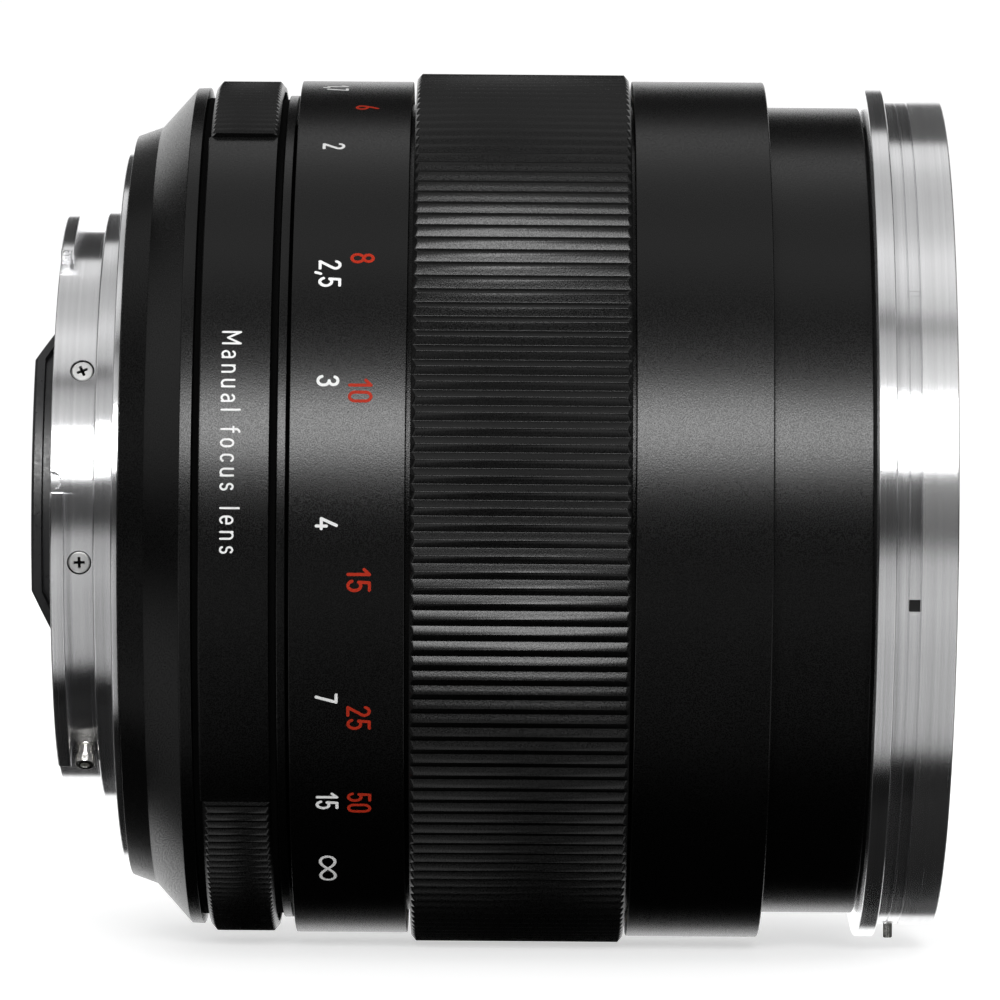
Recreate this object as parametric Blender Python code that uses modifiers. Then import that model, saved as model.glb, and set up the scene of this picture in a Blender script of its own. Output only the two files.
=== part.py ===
"""Manual-focus prime camera lens of 85 mm class for a 54 mm bayonet, focused at its closest distance.

The optical axis lies along +X, the front of the lens towards +X. The origin is on the axis, in the
plane of the bayonet flange's rear face. Dimensions are in millimetres and are turned into metres
where meshes are made. An angle is measured round the axis from -Y, and grows by the right-hand rule
about +X, so 90 degrees points down to -Z.
"""

import math

import bmesh
import bpy
from mathutils import Euler, Matrix, Vector

MM = 0.001
GAP = 0.3
ROLL = -8.0  # the lens lies turned by this angle about its axis

OUTER_SIDES = 40
INNER_SIDES = 24
HIDDEN_SIDES = 16
PIN_SIDES = 8

# Bayonet, all behind the flange face at X = 0.
NECK_RADIUS = 24.95
NECK_BORE = 22.6
NECK_REAR = -5.65
LUG_RADIUS = 26.35
LUG_REAR = -5.57
LUG_FRONT = -4.35
LUG_SPAN = 64.0
LUG_FIRST = 29.6
SPIGOT_RADIUS = 26.65
SPIGOT_REAR = -1.86
FLANGE_RADIUS = 32.0
FLANGE_THICKNESS = 0.6
MOUNT_BOSS_RADIUS = 31.0
MOUNT_FRONT = 2.4
MOUNT_SCREW_RING = 29.2
MOUNT_SCREW_HEAD = 1.1
MOUNT_SCREW_SHANK = 0.6
MOUNT_SCREW_FIRST = 37.0
NECK_HOLE_X = -3.1
STOP_PIN_ANGLE = 59.0
STOP_PIN_RADIUS = 0.9
STOP_PIN_TIP = 26.8

# Contact block inside the neck.
BLOCK_REAR = -7.46
BLOCK_FRONT = -1.9
BLOCK_OUTER = 22.3
BLOCK_INNER = 18.4
BLOCK_BASE_ANGLES = (-44.0, 31.0)
BLOCK_FLAT_ANGLES = (-35.0, 20.0)
BLOCK_SCREW_ANGLES = (-27.9, 11.6)
BAFFLE_BACK = -5.6
BAFFLE_FRONT = -4.4
BAFFLE_CLEARANCE = 3.0
CONTACT_COUNT = 7
CONTACT_PITCH = 6.9
CONTACT_RING = 20.4
CONTACT_RADIUS = 0.7
CONTACT_REAR = -7.5
CONTACT_DEPTH = 1.0

# Fixed barrel.
REAR_BODY_BACK = FLANGE_THICKNESS + GAP
REAR_BODY_FRONT = 8.3
REAR_BODY_INNER = 31.4
REAR_BODY_EDGE = 33.25
WEB_BACK = MOUNT_FRONT + GAP
WEB_FRONT = 4.6
WEB_INNER = 24.0
SKIRT_INNER = 35.4
SKIRT_BACK = 5.4
SPIGOT_FIT = 0.05
CONE_BACK = 3.06
CONE_BACK_RADIUS = 34.05
CONE_FRONT = 6.2
LAND_FRONT = 7.08
LAND_RADIUS = 37.6
BEAD_X = 1.9
BEAD_FLOOR = 32.6
BEAD_TOP = 34.0
BEAD_SIZE = 1.0
BOARD_OUTER = 31.0
BOARD_INNER = 24.4
BOARD_THICKNESS = 1.0
GRIP_BACK = 7.84
GRIP_FRONT = 13.8
GRIP_RADIUS = 38.2
GRIP_SMOOTH_RADIUS = 37.8
GRIP_BORE = 37.3
FLUTE_PITCH = 1.44
FLUTE_DEPTH = 0.3
FLUTED_ZONE = 80.0
COLLAR_BACK = 10.8
COLLAR_FRONT = 15.1
COLLAR_RADIUS = 36.95
COLLAR_BORE = 35.2
SLEEVE_BACK = 8.7
SLEEVE_FRONT = 50.2
SLEEVE_INNER = 33.2
SLEEVE_OUTER = 34.4
KEY_WIDTH = 3.0
KEY_BACK = 26.0
KEY_FRONT = 30.0
KEYWAY_BACK = 15.0
KEYWAY_FRONT = 32.0
KEY_FIRST = 22.0

# Focusing ring.
SCALE_BACK = 15.4
SCALE_FRONT = 25.3
SCALE_RADIUS = 38.28
FOCUS_BACK = 25.67
FOCUS_FRONT = 44.55
FOCUS_RADIUS = 39.0
RIB_COUNT = 180
RIB_DEPTH = 0.34
FRONT_SLEEVE_BACK = 44.85
FRONT_SLEEVE_FRONT = 56.6
FRONT_SLEEVE_RADIUS = 38.45
FOCUS_BORE = 36.9
HELICOID_BORE = 36.5
HELICOID_RADIUS = 37.3

# Optical barrel, drawn fully out, at the closest focus.
BARREL_RADIUS = 36.2
BARREL_BORE = 34.8
BARREL_BACK = 25.0
BARREL_FRONT = 65.1
HOOD_BACK = 65.4
HOOD_FLANGE_FRONT = 67.0
HOOD_FLANGE_RADIUS = 38.3
HOOD_RADIUS = 37.17
HOOD_BORE = 35.2
FRONT_RIM = 72.3
FILTER_SEAT = 67.4
FILTER_BORE = 35.7
HOOD_PIN_X = 68.55
HOOD_PIN_RADIUS = 0.4
HOOD_PIN_TIP = 38.5

# Cells and rings that hold the elements: stations from the front, then radii.
RETAINER_FRONT = 67.1
RETAINER_STEP = 62.8
RETAINER_BACK = 60.1
RETAINER_OUTER = 34.5
RETAINER_LIP = 33.9
RETAINER_SKIRT = (29.6, 30.5)
CELL_FRONT = 62.5
CELL_SHOULDERS = (60.5, 53.8, 40.3, 34.5)
CELL_SEATS = (55.1, 41.6, 35.1)
CELL_BORES = (30.8, 26.3, 22.8, 21.3)
CELL_SKINS = (34.5, 32.8, 27.8, 24.3)
REAR_CELL_STATIONS = (7.6, 18.8, 26.6, 27.6)
REAR_CELL_BORES = (18.8, 19.3)
REAR_CELL_SKIN = 20.6
REAR_CELL_FLANGE = 30.0
REAR_RINGS_OUTER = 18.5
SPACER_BORE = 17.3
SPACER_STATIONS = (12.3, 17.8)
REAR_RETAINER_BORE = 16.6
REAR_RETAINER_STATIONS = (7.8, 9.6)

# Lens elements: front vertex, front curvature radius, rear vertex, rear curvature radius, rim radius
# and the clear radius of the rear surface. A positive curvature bulges towards the front.
ELEMENTS = (
    ("lens_element_1", 66.0, 75.0, 57.0, 300.0, 30.5, 30.5, INNER_SIDES),
    ("lens_element_2", 56.0, 38.0, 47.0, 70.0, 26.0, 26.0, HIDDEN_SIDES),
    ("lens_element_3", 46.2, 65.0, 43.2, 26.0, 22.5, 18.5, HIDDEN_SIDES),
    ("lens_element_4", 21.9, -30.0, 20.0, math.inf, 19.0, 19.0, HIDDEN_SIDES),
    ("lens_element_5", 19.9, math.inf, 14.0, -38.0, 19.0, 19.0, HIDDEN_SIDES),
    ("lens_element_6", 13.6, 90.0, 8.1, -70.0, 18.5, 18.5, HIDDEN_SIDES),
)

# Iris.
BLADE_COUNT = 9
BLADE_BACK = 29.2
BLADE_PITCH = 0.45
BLADE_THICKNESS = 0.15
BLADE_INNER = 20.4
BLADE_OUTER = 25.4
BLADE_SPAN = 106.0
BLADE_SWING = 38.0
PIVOT_RING = 27.2
PIVOT_RADIUS = 0.5
DRIVE_ARM = 3.2
HOUSING_BACK = 27.9
HOUSING_PLATE = 1.0
HOUSING_FRONT = 36.2
HOUSING_RADIUS = 32.8
DRIVE_BACK = 33.4
DRIVE_THICKNESS = 0.8
DRIVE_INNER = 28.0
DRIVE_OUTER = 31.5
NOTCH_FLOOR = 29.3
NOTCH_WIDTH = 1.7
MOTOR_RING = 27.7
MOTOR_ANGLE = 20.0
MOTOR_RADIUS = 2.8
MOTOR_ARM = 2.9
MOTOR_FRONT = 39.9
COVER_BACK = 35.4
COVER_FRONT = 36.2
COVER_OUTER = 31.5
COVER_INNER = 24.7
HOUSING_WALL = 0.9
BLADE_EAR = 0.95
ARM_BACK = 34.5
ARM_THICKNESS = 0.6

# Half the drive ring's turn, from the triangle of optical axis, blade pivot and drive pin.
HALF_SWING = math.radians(BLADE_SWING / 2)
DRIVE_HALF_TURN = math.atan2(
    DRIVE_ARM * math.sin(HALF_SWING), PIVOT_RING + DRIVE_ARM * math.cos(HALF_SWING)
)
MOTOR_HALF_SWING = DRIVE_HALF_TURN + math.asin(
    MOTOR_RING * math.sin(DRIVE_HALF_TURN) / MOTOR_ARM
)


def clear_scene():
    for item in list(bpy.data.objects):
        bpy.data.objects.remove(item, do_unlink=True)


def new_collection(name):
    group = bpy.data.collections.new(name)
    bpy.context.scene.collection.children.link(group)
    return group


clear_scene()
PARTS = new_collection("prime_camera_lens")
CUTTERS = new_collection("cutters")


def on_ring(radius, degrees):
    """The (y, z) of a point at an angle round the optical axis."""
    angle = math.radians(degrees)
    return (-radius * math.cos(angle), -radius * math.sin(angle))


def add_empty(name, location=(0, 0, 0)):
    item = bpy.data.objects.new(name, None)
    item.location = Vector(location) * MM
    item.empty_display_size = 0.01
    PARTS.objects.link(item)
    return item


def add_part(name, mesh, parent, finish, sharp=30):
    """Links a mesh as a named sub-part with a Principled material of its own."""
    colour, roughness, metallic = finish
    material = bpy.data.materials.new(name)
    material.use_nodes = True
    shader = material.node_tree.nodes["Principled BSDF"]
    shader.inputs["Base Color"].default_value = (*colour, 1)
    shader.inputs["Roughness"].default_value = roughness
    shader.inputs["Metallic"].default_value = metallic
    mesh.materials.clear()
    mesh.materials.append(material)
    mesh.shade_smooth()
    mesh.set_sharp_from_angle(angle=math.radians(sharp))
    item = bpy.data.objects.new(name, mesh)
    item.parent = parent
    PARTS.objects.link(item)
    return item


def add_cutter(name, mesh):
    item = bpy.data.objects.new(name, mesh)
    item.display_type = "WIRE"
    item.hide_render = True
    CUTTERS.objects.link(item)
    return item


def combine(item, tool, operation):
    modifier = item.modifiers.new(f"{operation.lower()} {tool.name}", "BOOLEAN")
    modifier.operation = operation
    modifier.object = tool
    modifier.solver = "EXACT"


def section_area(points):
    total = 0.0
    for (x0, r0), (x1, r1) in zip(points, points[1:] + points[:1]):
        total += r0 * x1 - r1 * x0
    return total / 2


def turned(name, section, sides, parent, finish, closed=True):
    """A section of (x, radius) points turned about the optical axis by a Screw modifier."""
    points = list(section)
    if closed and section_area(points) > 0:
        points.reverse()
    mesh = bpy.data.meshes.new(name)
    form = bmesh.new()
    verts = [form.verts.new((r * MM, 0, x * MM)) for x, r in points]
    for a, b in zip(verts, verts[1:]):
        form.edges.new((a, b))
    if closed:
        form.edges.new((verts[-1], verts[0]))
    form.to_mesh(mesh)
    form.free()
    item = add_part(name, mesh, parent, finish)
    item.rotation_euler = (0, math.pi / 2, 0)
    screw = item.modifiers.new("turn", "SCREW")
    screw.axis = "Z"
    screw.steps = sides
    screw.render_steps = sides
    screw.use_smooth_shade = True
    screw.use_merge_vertices = True
    screw.merge_threshold = 1e-6
    return item


def plate_mesh(name, outlines, thickness):
    """Outlines of (y, z) points in millimetres, extruded evenly both ways along local Z."""
    curve = bpy.data.curves.new(name, "CURVE")
    curve.dimensions = "2D"
    curve.fill_mode = "BOTH"
    curve.extrude = thickness / 2 * MM
    for outline in outlines:
        spline = curve.splines.new("POLY")
        spline.points.add(len(outline) - 1)
        for point, (y, z) in zip(spline.points, outline):
            point.co = (y * MM, z * MM, 0, 1)
        spline.use_cyclic_u = True
    source = bpy.data.objects.new(name, curve)
    bpy.context.scene.collection.objects.link(source)
    bpy.context.view_layer.update()
    evaluated = source.evaluated_get(bpy.context.evaluated_depsgraph_get())
    mesh = bpy.data.meshes.new_from_object(evaluated)
    form = bmesh.new()
    form.from_mesh(mesh)
    bmesh.ops.remove_doubles(form, verts=form.verts, dist=1e-7)
    bmesh.ops.recalc_face_normals(form, faces=form.faces)
    form.to_mesh(mesh)
    form.free()
    bpy.data.objects.remove(source, do_unlink=True)
    mesh.name = name
    return mesh


def across_axis(item, back, front):
    """Stands a plate, made in local XY, across the optical axis between two stations."""
    item.rotation_euler = (math.pi / 2, 0, math.pi / 2)
    item.location.x = (back + front) / 2 * MM
    return item


def plate(name, outlines, back, front, parent, finish):
    item = add_part(name, plate_mesh(name, outlines, front - back), parent, finish)
    return across_axis(item, back, front)


def ring_points(radius, sides):
    return [on_ring(radius, 360 * k / sides) for k in range(sides)]


def arc_points(radius, start, end, count):
    return [on_ring(radius, start + (end - start) * k / (count - 1)) for k in range(count)]


def sector(inner, outer, start, end, count=9):
    return arc_points(outer, start, end, count) + arc_points(inner, end, start, count)


def rod_mesh(name, rods, sides=PIN_SIDES):
    """One mesh of straight rods, each a start, an end and a radius at either end."""
    form = bmesh.new()
    for start, end, radius, end_radius in rods:
        start = Vector(start)
        axis = Vector(end) - start
        turn = axis.to_track_quat("Z", "Y").to_matrix().to_4x4()
        bmesh.ops.create_cone(
            form,
            cap_ends=True,
            segments=sides,
            radius1=radius * MM,
            radius2=end_radius * MM,
            depth=axis.length * MM,
            matrix=Matrix.Translation((start + axis / 2) * MM) @ turn,
        )
    mesh = bpy.data.meshes.new(name)
    form.to_mesh(mesh)
    form.free()
    return mesh


def axial_rod(x0, x1, ring, degrees, radius):
    y, z = on_ring(ring, degrees)
    return ((x0, y, z), (x1, y, z), radius, radius)


def radial_rod(x, r0, r1, degrees, radius):
    return ((x, *on_ring(r0, degrees)), (x, *on_ring(r1, degrees)), radius, radius)


def box_mesh(name, boxes):
    """One mesh of boxes, each a size, a centre and a turn about the optical axis."""
    form = bmesh.new()
    for size, centre, turn in boxes:
        matrix = Matrix.Translation(Vector(centre) * MM) @ turn.to_4x4()
        matrix = matrix @ Matrix.Diagonal((*(Vector(size) * MM), 1))
        bmesh.ops.create_cube(form, size=1, matrix=matrix)
    mesh = bpy.data.meshes.new(name)
    form.to_mesh(mesh)
    form.free()
    return mesh


def about_axis(degrees):
    return Euler((math.radians(degrees), 0, 0)).to_matrix()


# Finishes: colour, roughness, metallic.
BLACK_METAL = ((0.018, 0.018, 0.019), 0.42, 0.0)
MATTE_BLACK = ((0.012, 0.012, 0.012), 0.7, 0.0)
BRIGHT_METAL = ((0.78, 0.78, 0.79), 0.22, 1.0)
BRASS = ((0.72, 0.55, 0.28), 0.35, 1.0)
GOLD = ((0.9, 0.68, 0.28), 0.2, 1.0)
STEEL = ((0.5, 0.5, 0.52), 0.3, 1.0)
GLASS = ((0.7, 0.8, 0.85), 0.02, 0.0)
BOARD = ((0.04, 0.16, 0.07), 0.5, 0.0)
RED = ((0.6, 0.03, 0.02), 0.3, 0.0)
PLASTIC = ((0.02, 0.02, 0.022), 0.35, 0.0)


def make_bayonet(frame):
    mount = turned(
        "bayonet_mount",
        [
            (NECK_REAR, NECK_BORE),
            (NECK_REAR, NECK_RADIUS),
            (SPIGOT_REAR, NECK_RADIUS),
            (SPIGOT_REAR, SPIGOT_RADIUS),
            (0, SPIGOT_RADIUS),
            (0, FLANGE_RADIUS - 0.2),
            (FLANGE_THICKNESS, FLANGE_RADIUS),
            (FLANGE_THICKNESS, MOUNT_BOSS_RADIUS),
            (MOUNT_FRONT, MOUNT_BOSS_RADIUS),
            (MOUNT_FRONT, NECK_BORE),
        ],
        OUTER_SIDES,
        frame,
        BRIGHT_METAL,
    )
    starts = [LUG_FIRST - LUG_SPAN / 2 + 120 * k for k in range(3)]
    lugs = [sector(NECK_RADIUS - 0.7, LUG_RADIUS, s, s + LUG_SPAN) for s in starts]
    lug_tool = add_cutter("bayonet_lugs", plate_mesh("lugs", lugs, LUG_FRONT - LUG_REAR))
    across_axis(lug_tool, LUG_REAR, LUG_FRONT)
    combine(mount, lug_tool, "UNION")

    radial_holes = [
        radial_rod(NECK_HOLE_X, NECK_BORE - 1, NECK_RADIUS + 1, angle, MOUNT_SCREW_HEAD + GAP)
        for angle in (*BLOCK_SCREW_ANGLES, STOP_PIN_ANGLE)
    ]
    combine(mount, add_cutter("neck_holes", rod_mesh("neck_holes", radial_holes)), "DIFFERENCE")

    angles = [MOUNT_SCREW_FIRST + 90 * k for k in range(4)]
    wide = [axial_rod(-1, 0.9, MOUNT_SCREW_RING, a, MOUNT_SCREW_HEAD + GAP) for a in angles]
    wells = add_cutter("screw_wells", rod_mesh("screw_wells", wide))
    combine(mount, wells, "DIFFERENCE")
    narrow = [axial_rod(0.5, 6, MOUNT_SCREW_RING, a, MOUNT_SCREW_SHANK + GAP) for a in angles]
    clearance = add_cutter("screw_holes", rod_mesh("screw_holes", narrow))
    combine(mount, clearance, "DIFFERENCE")

    for number, angle in enumerate(angles, 1):
        head = rod_mesh("head", [axial_rod(0.05, 0.75, MOUNT_SCREW_RING, angle, MOUNT_SCREW_HEAD)])
        screw = add_part(f"mount_screw_{number}", head, frame, STEEL)
        shank = rod_mesh("shank", [axial_rod(0.6, 4.2, MOUNT_SCREW_RING, angle, MOUNT_SCREW_SHANK)])
        combine(screw, add_cutter(f"mount_screw_shank_{number}", shank), "UNION")

    pin = rod_mesh(
        "stop_pin",
        [radial_rod(NECK_HOLE_X, NECK_BORE + GAP, STOP_PIN_TIP, STOP_PIN_ANGLE, STOP_PIN_RADIUS)],
    )
    add_part("stop_pin", pin, frame, STEEL)
    return clearance


def ramp_box(base_angle, flat_angle):
    """The box that slopes one end of the contact block from its base to its rear flat."""
    ring = (BLOCK_INNER + BLOCK_OUTER) / 2
    base = Vector((NECK_REAR, *on_ring(ring, base_angle)))
    flat = Vector((BLOCK_REAR, *on_ring(ring, flat_angle)))
    along = (base - flat).normalized()
    outward = Vector((0, *on_ring(1, (base_angle + flat_angle) / 2)))
    outward = (outward - along * outward.dot(along)).normalized()
    normal = along.cross(outward)
    if normal.x > 0:
        normal.negate()
    turn = Matrix((along, outward, normal)).transposed()
    if turn.determinant() < 0:
        turn = Matrix((along, -outward, normal)).transposed()
    thickness = 6.0
    centre = (base + flat) / 2 + normal * thickness / 2
    return ((16.0, 14.0, thickness), centre, turn)


def make_contacts(frame):
    outline = sector(BLOCK_INNER, BLOCK_OUTER, *BLOCK_BASE_ANGLES, 13)
    block = plate("contact_block", [outline], BLOCK_REAR, BLOCK_FRONT, frame, PLASTIC)
    for number, ends in enumerate(zip(BLOCK_BASE_ANGLES, BLOCK_FLAT_ANGLES), 1):
        ramp = box_mesh("ramp", [ramp_box(*ends)])
        combine(block, add_cutter(f"block_ramp_{number}", ramp), "DIFFERENCE")

    middle = ROLL - CONTACT_PITCH * (CONTACT_COUNT - 1) / 2
    angles = [middle + CONTACT_PITCH * k for k in range(CONTACT_COUNT)]
    floor = CONTACT_REAR + CONTACT_DEPTH + GAP
    sockets = [axial_rod(-8, floor, CONTACT_RING, a, CONTACT_RADIUS + GAP) for a in angles]
    combine(block, add_cutter("contact_sockets", rod_mesh("sockets", sockets)), "DIFFERENCE")
    bores = [
        radial_rod(NECK_HOLE_X, BLOCK_INNER + 1, BLOCK_OUTER + 1, a, MOUNT_SCREW_SHANK + GAP)
        for a in BLOCK_SCREW_ANGLES
    ]
    combine(block, add_cutter("block_bores", rod_mesh("bores", bores)), "DIFFERENCE")

    for number, angle in enumerate(angles, 1):
        front = CONTACT_REAR + CONTACT_DEPTH
        pin = [axial_rod(CONTACT_REAR, front, CONTACT_RING, angle, CONTACT_RADIUS)]
        add_part(f"contact_pin_{number}", rod_mesh("contact", pin), frame, GOLD)

    for number, angle in enumerate(BLOCK_SCREW_ANGLES, 1):
        head = [radial_rod(NECK_HOLE_X, 24.0, NECK_RADIUS - 0.05, angle, MOUNT_SCREW_HEAD - 0.05)]
        screw = add_part(f"block_screw_{number}", rod_mesh("head", head), frame, STEEL)
        shank = [radial_rod(NECK_HOLE_X, BLOCK_INNER + 1.4, 24.2, angle, MOUNT_SCREW_SHANK)]
        tool = add_cutter(f"block_screw_shank_{number}", rod_mesh("shank", shank))
        combine(screw, tool, "UNION")

    start = BLOCK_BASE_ANGLES[1] + BAFFLE_CLEARANCE
    end = BLOCK_BASE_ANGLES[0] + 360 - BAFFLE_CLEARANCE
    baffle = [sector(BLOCK_INNER + 0.6, BLOCK_OUTER, start, end, 25)]
    plate("rear_baffle", baffle, BAFFLE_BACK, BAFFLE_FRONT, frame, MATTE_BLACK)


def make_rear_barrel(frame, screw_holes):
    body = turned(
        "rear_barrel",
        [
            (REAR_BODY_BACK, REAR_BODY_INNER),
            (REAR_BODY_BACK, REAR_BODY_EDGE),
            (CONE_BACK, CONE_BACK_RADIUS),
            (CONE_FRONT, LAND_RADIUS - SPIGOT_FIT),
            (LAND_FRONT, LAND_RADIUS),
            (LAND_FRONT, COLLAR_RADIUS - SPIGOT_FIT),
            (REAR_BODY_FRONT, COLLAR_RADIUS - SPIGOT_FIT),
            (REAR_BODY_FRONT, SKIRT_INNER),
            (SKIRT_BACK, SKIRT_INNER),
            (WEB_FRONT, SKIRT_INNER - 2),
            (WEB_FRONT, WEB_INNER),
            (WEB_BACK, WEB_INNER),
            (WEB_BACK, REAR_BODY_INNER),
        ],
        OUTER_SIDES,
        frame,
        BLACK_METAL,
    )
    combine(body, screw_holes, "DIFFERENCE")
    top = ROLL + 180
    pocket = [radial_rod(BEAD_X, BEAD_FLOOR, BEAD_TOP + 2, top, BEAD_SIZE + GAP)]
    socket = rod_mesh("bead_socket", pocket)
    combine(body, add_cutter("bead_socket", socket), "DIFFERENCE")
    stud = [radial_rod(BEAD_X, BEAD_FLOOR + GAP, BEAD_TOP, top, BEAD_SIZE)]
    add_part("mount_index_bead", rod_mesh("mount_index_bead", stud, 16), frame, RED)
    ring = [ring_points(BOARD_OUTER, INNER_SIDES), ring_points(BOARD_INNER, INNER_SIDES)]
    board_back = WEB_FRONT + GAP
    plate("circuit_board", ring, board_back, board_back + BOARD_THICKNESS, frame, BOARD)


def make_rear_grip(frame):
    """Two smooth zones and two finely fluted zones round a fixed ring."""
    outline = []
    flutes = int(FLUTED_ZONE / FLUTE_PITCH)
    for centre in (ROLL + 90, ROLL + 270):
        first = centre - FLUTE_PITCH * flutes / 2
        for k in range(flutes):
            outline.append(on_ring(GRIP_RADIUS, first + FLUTE_PITCH * k))
            outline.append(on_ring(GRIP_RADIUS - FLUTE_DEPTH, first + FLUTE_PITCH * (k + 0.5)))
        last = first + FLUTE_PITCH * flutes
        outline.append(on_ring(GRIP_RADIUS, last))
        smooth = 180 - FLUTE_PITCH * flutes
        outline += arc_points(GRIP_SMOOTH_RADIUS, last + 0.4, last + smooth - 0.4, 12)
    rings = [outline, ring_points(GRIP_BORE, OUTER_SIDES)]
    plate("rear_grip_ring", rings, GRIP_BACK, GRIP_FRONT, frame, BLACK_METAL)
    section = [
        (COLLAR_BACK, COLLAR_BORE),
        (COLLAR_BACK, COLLAR_RADIUS),
        (COLLAR_FRONT, COLLAR_RADIUS),
        (COLLAR_FRONT, COLLAR_BORE),
    ]
    turned("index_collar", section, OUTER_SIDES, frame, BLACK_METAL)


def make_fixed_sleeve(frame):
    section = [
        (SLEEVE_BACK, SLEEVE_INNER),
        (SLEEVE_BACK, COLLAR_RADIUS),
        (COLLAR_BACK - GAP, COLLAR_RADIUS),
        (COLLAR_BACK - GAP, SLEEVE_OUTER),
        (SLEEVE_FRONT, SLEEVE_OUTER),
        (SLEEVE_FRONT, SLEEVE_INNER),
    ]
    sleeve = turned("fixed_sleeve", section, OUTER_SIDES, frame, BLACK_METAL)
    middle = (KEYWAY_BACK + KEYWAY_FRONT) / 2
    ring = (SLEEVE_INNER + SLEEVE_OUTER) / 2
    slots = []
    for k in range(3):
        angle = KEY_FIRST + 120 * k
        size = (KEYWAY_FRONT - KEYWAY_BACK, 4, KEY_WIDTH + 2 * GAP)
        slots.append((size, (middle, *on_ring(ring, angle)), about_axis(angle)))
    combine(sleeve, add_cutter("keyways", box_mesh("keyways", slots)), "DIFFERENCE")


def make_guide_keys(barrel):
    """Three keys that keep the optical barrel from turning as it slides."""
    low = SLEEVE_INNER + 0.2
    high = BARREL_BORE - GAP
    for k in range(3):
        angle = KEY_FIRST + 120 * k
        centre = ((KEY_BACK + KEY_FRONT) / 2, *on_ring((low + high) / 2, angle))
        size = (KEY_FRONT - KEY_BACK, high - low, KEY_WIDTH)
        mesh = box_mesh("guide_key", [(size, centre, about_axis(angle))])
        add_part(f"guide_key_{k + 1}", mesh, barrel, STEEL)


def make_focus_ring(focus):
    section = [
        (SCALE_BACK, FOCUS_BORE),
        (SCALE_BACK, SCALE_RADIUS - 0.3),
        (SCALE_BACK + 0.3, SCALE_RADIUS),
        (SCALE_FRONT, SCALE_RADIUS),
        (SCALE_FRONT, FOCUS_BORE),
    ]
    turned("distance_scale_ring", section, OUTER_SIDES, focus, BLACK_METAL)

    pitch = 360 / RIB_COUNT
    outline = []
    for k in range(RIB_COUNT):
        outline.append(on_ring(FOCUS_RADIUS, pitch * k))
        outline.append(on_ring(FOCUS_RADIUS - RIB_DEPTH, pitch * (k + 0.5)))
    rings = [outline, ring_points(HELICOID_RADIUS + GAP, OUTER_SIDES)]
    plate("focus_grip_ring", rings, FOCUS_BACK, FOCUS_FRONT, focus, MATTE_BLACK)

    section = [
        (FRONT_SLEEVE_BACK, FOCUS_BORE),
        (FRONT_SLEEVE_BACK, FRONT_SLEEVE_RADIUS),
        (FRONT_SLEEVE_FRONT - 0.6, FRONT_SLEEVE_RADIUS),
        (FRONT_SLEEVE_FRONT - 0.15, FRONT_SLEEVE_RADIUS - 0.2),
        (FRONT_SLEEVE_FRONT, FRONT_SLEEVE_RADIUS - 0.6),
        (FRONT_SLEEVE_FRONT, FOCUS_BORE),
    ]
    turned("front_sleeve", section, OUTER_SIDES, focus, BLACK_METAL)

    section = [
        (FOCUS_BACK + 0.4, HELICOID_BORE),
        (FOCUS_BACK + 0.4, HELICOID_RADIUS),
        (FOCUS_FRONT - 0.2, HELICOID_RADIUS),
        (FOCUS_FRONT - 0.2, HELICOID_BORE),
    ]
    turned("focus_helicoid", section, OUTER_SIDES, focus, BRASS)


def make_barrel_shell(barrel):
    section = [
        (BARREL_BACK, BARREL_BORE),
        (BARREL_BACK, BARREL_RADIUS),
        (BARREL_FRONT, BARREL_RADIUS),
        (BARREL_FRONT, BARREL_BORE),
    ]
    turned("inner_barrel", section, OUTER_SIDES, barrel, BLACK_METAL)

    hood = turned(
        "hood_bayonet_ring",
        [
            (HOOD_BACK, HOOD_BORE),
            (HOOD_BACK, HOOD_FLANGE_RADIUS - 0.2),
            (HOOD_BACK + 0.2, HOOD_FLANGE_RADIUS),
            (HOOD_FLANGE_FRONT - 0.1, HOOD_FLANGE_RADIUS),
            (HOOD_FLANGE_FRONT, HOOD_RADIUS),
            (FRONT_RIM - 0.2, HOOD_RADIUS),
            (FRONT_RIM, HOOD_RADIUS - 0.2),
            (FRONT_RIM, FILTER_BORE),
            (FILTER_SEAT, FILTER_BORE),
            (FILTER_SEAT, HOOD_BORE),
        ],
        OUTER_SIDES,
        barrel,
        BRIGHT_METAL,
    )
    hole = rod_mesh("pin_hole", [radial_rod(HOOD_PIN_X, 34, 39, 90, HOOD_PIN_RADIUS + GAP)])
    combine(hood, add_cutter("hood_pin_hole", hole), "DIFFERENCE")
    pin = rod_mesh("hood_pin", [radial_rod(HOOD_PIN_X, 36.0, HOOD_PIN_TIP, 90, HOOD_PIN_RADIUS)])
    add_part("hood_pin", pin, barrel, STEEL)


def sag(curvature, radius):
    if math.isinf(curvature):
        return 0.0
    depth = abs(curvature) - math.sqrt(curvature**2 - radius**2)
    return math.copysign(depth, curvature)


def make_elements(barrel, rings=4):
    for name, front, front_curve, rear, rear_curve, rim, clear, sides in ELEMENTS:
        section = []
        for k in range(rings + 1):
            radius = rim * k / rings
            section.append((front - sag(front_curve, radius), radius))
        edge = rear - sag(rear_curve, clear)
        section.append((edge, rim))
        if clear < rim:
            section.append((edge, clear))
        for k in range(rings - 1, -1, -1):
            radius = clear * k / rings
            section.append((rear - sag(rear_curve, radius), radius))
        turned(name, section, sides, barrel, GLASS, closed=False)


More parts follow.
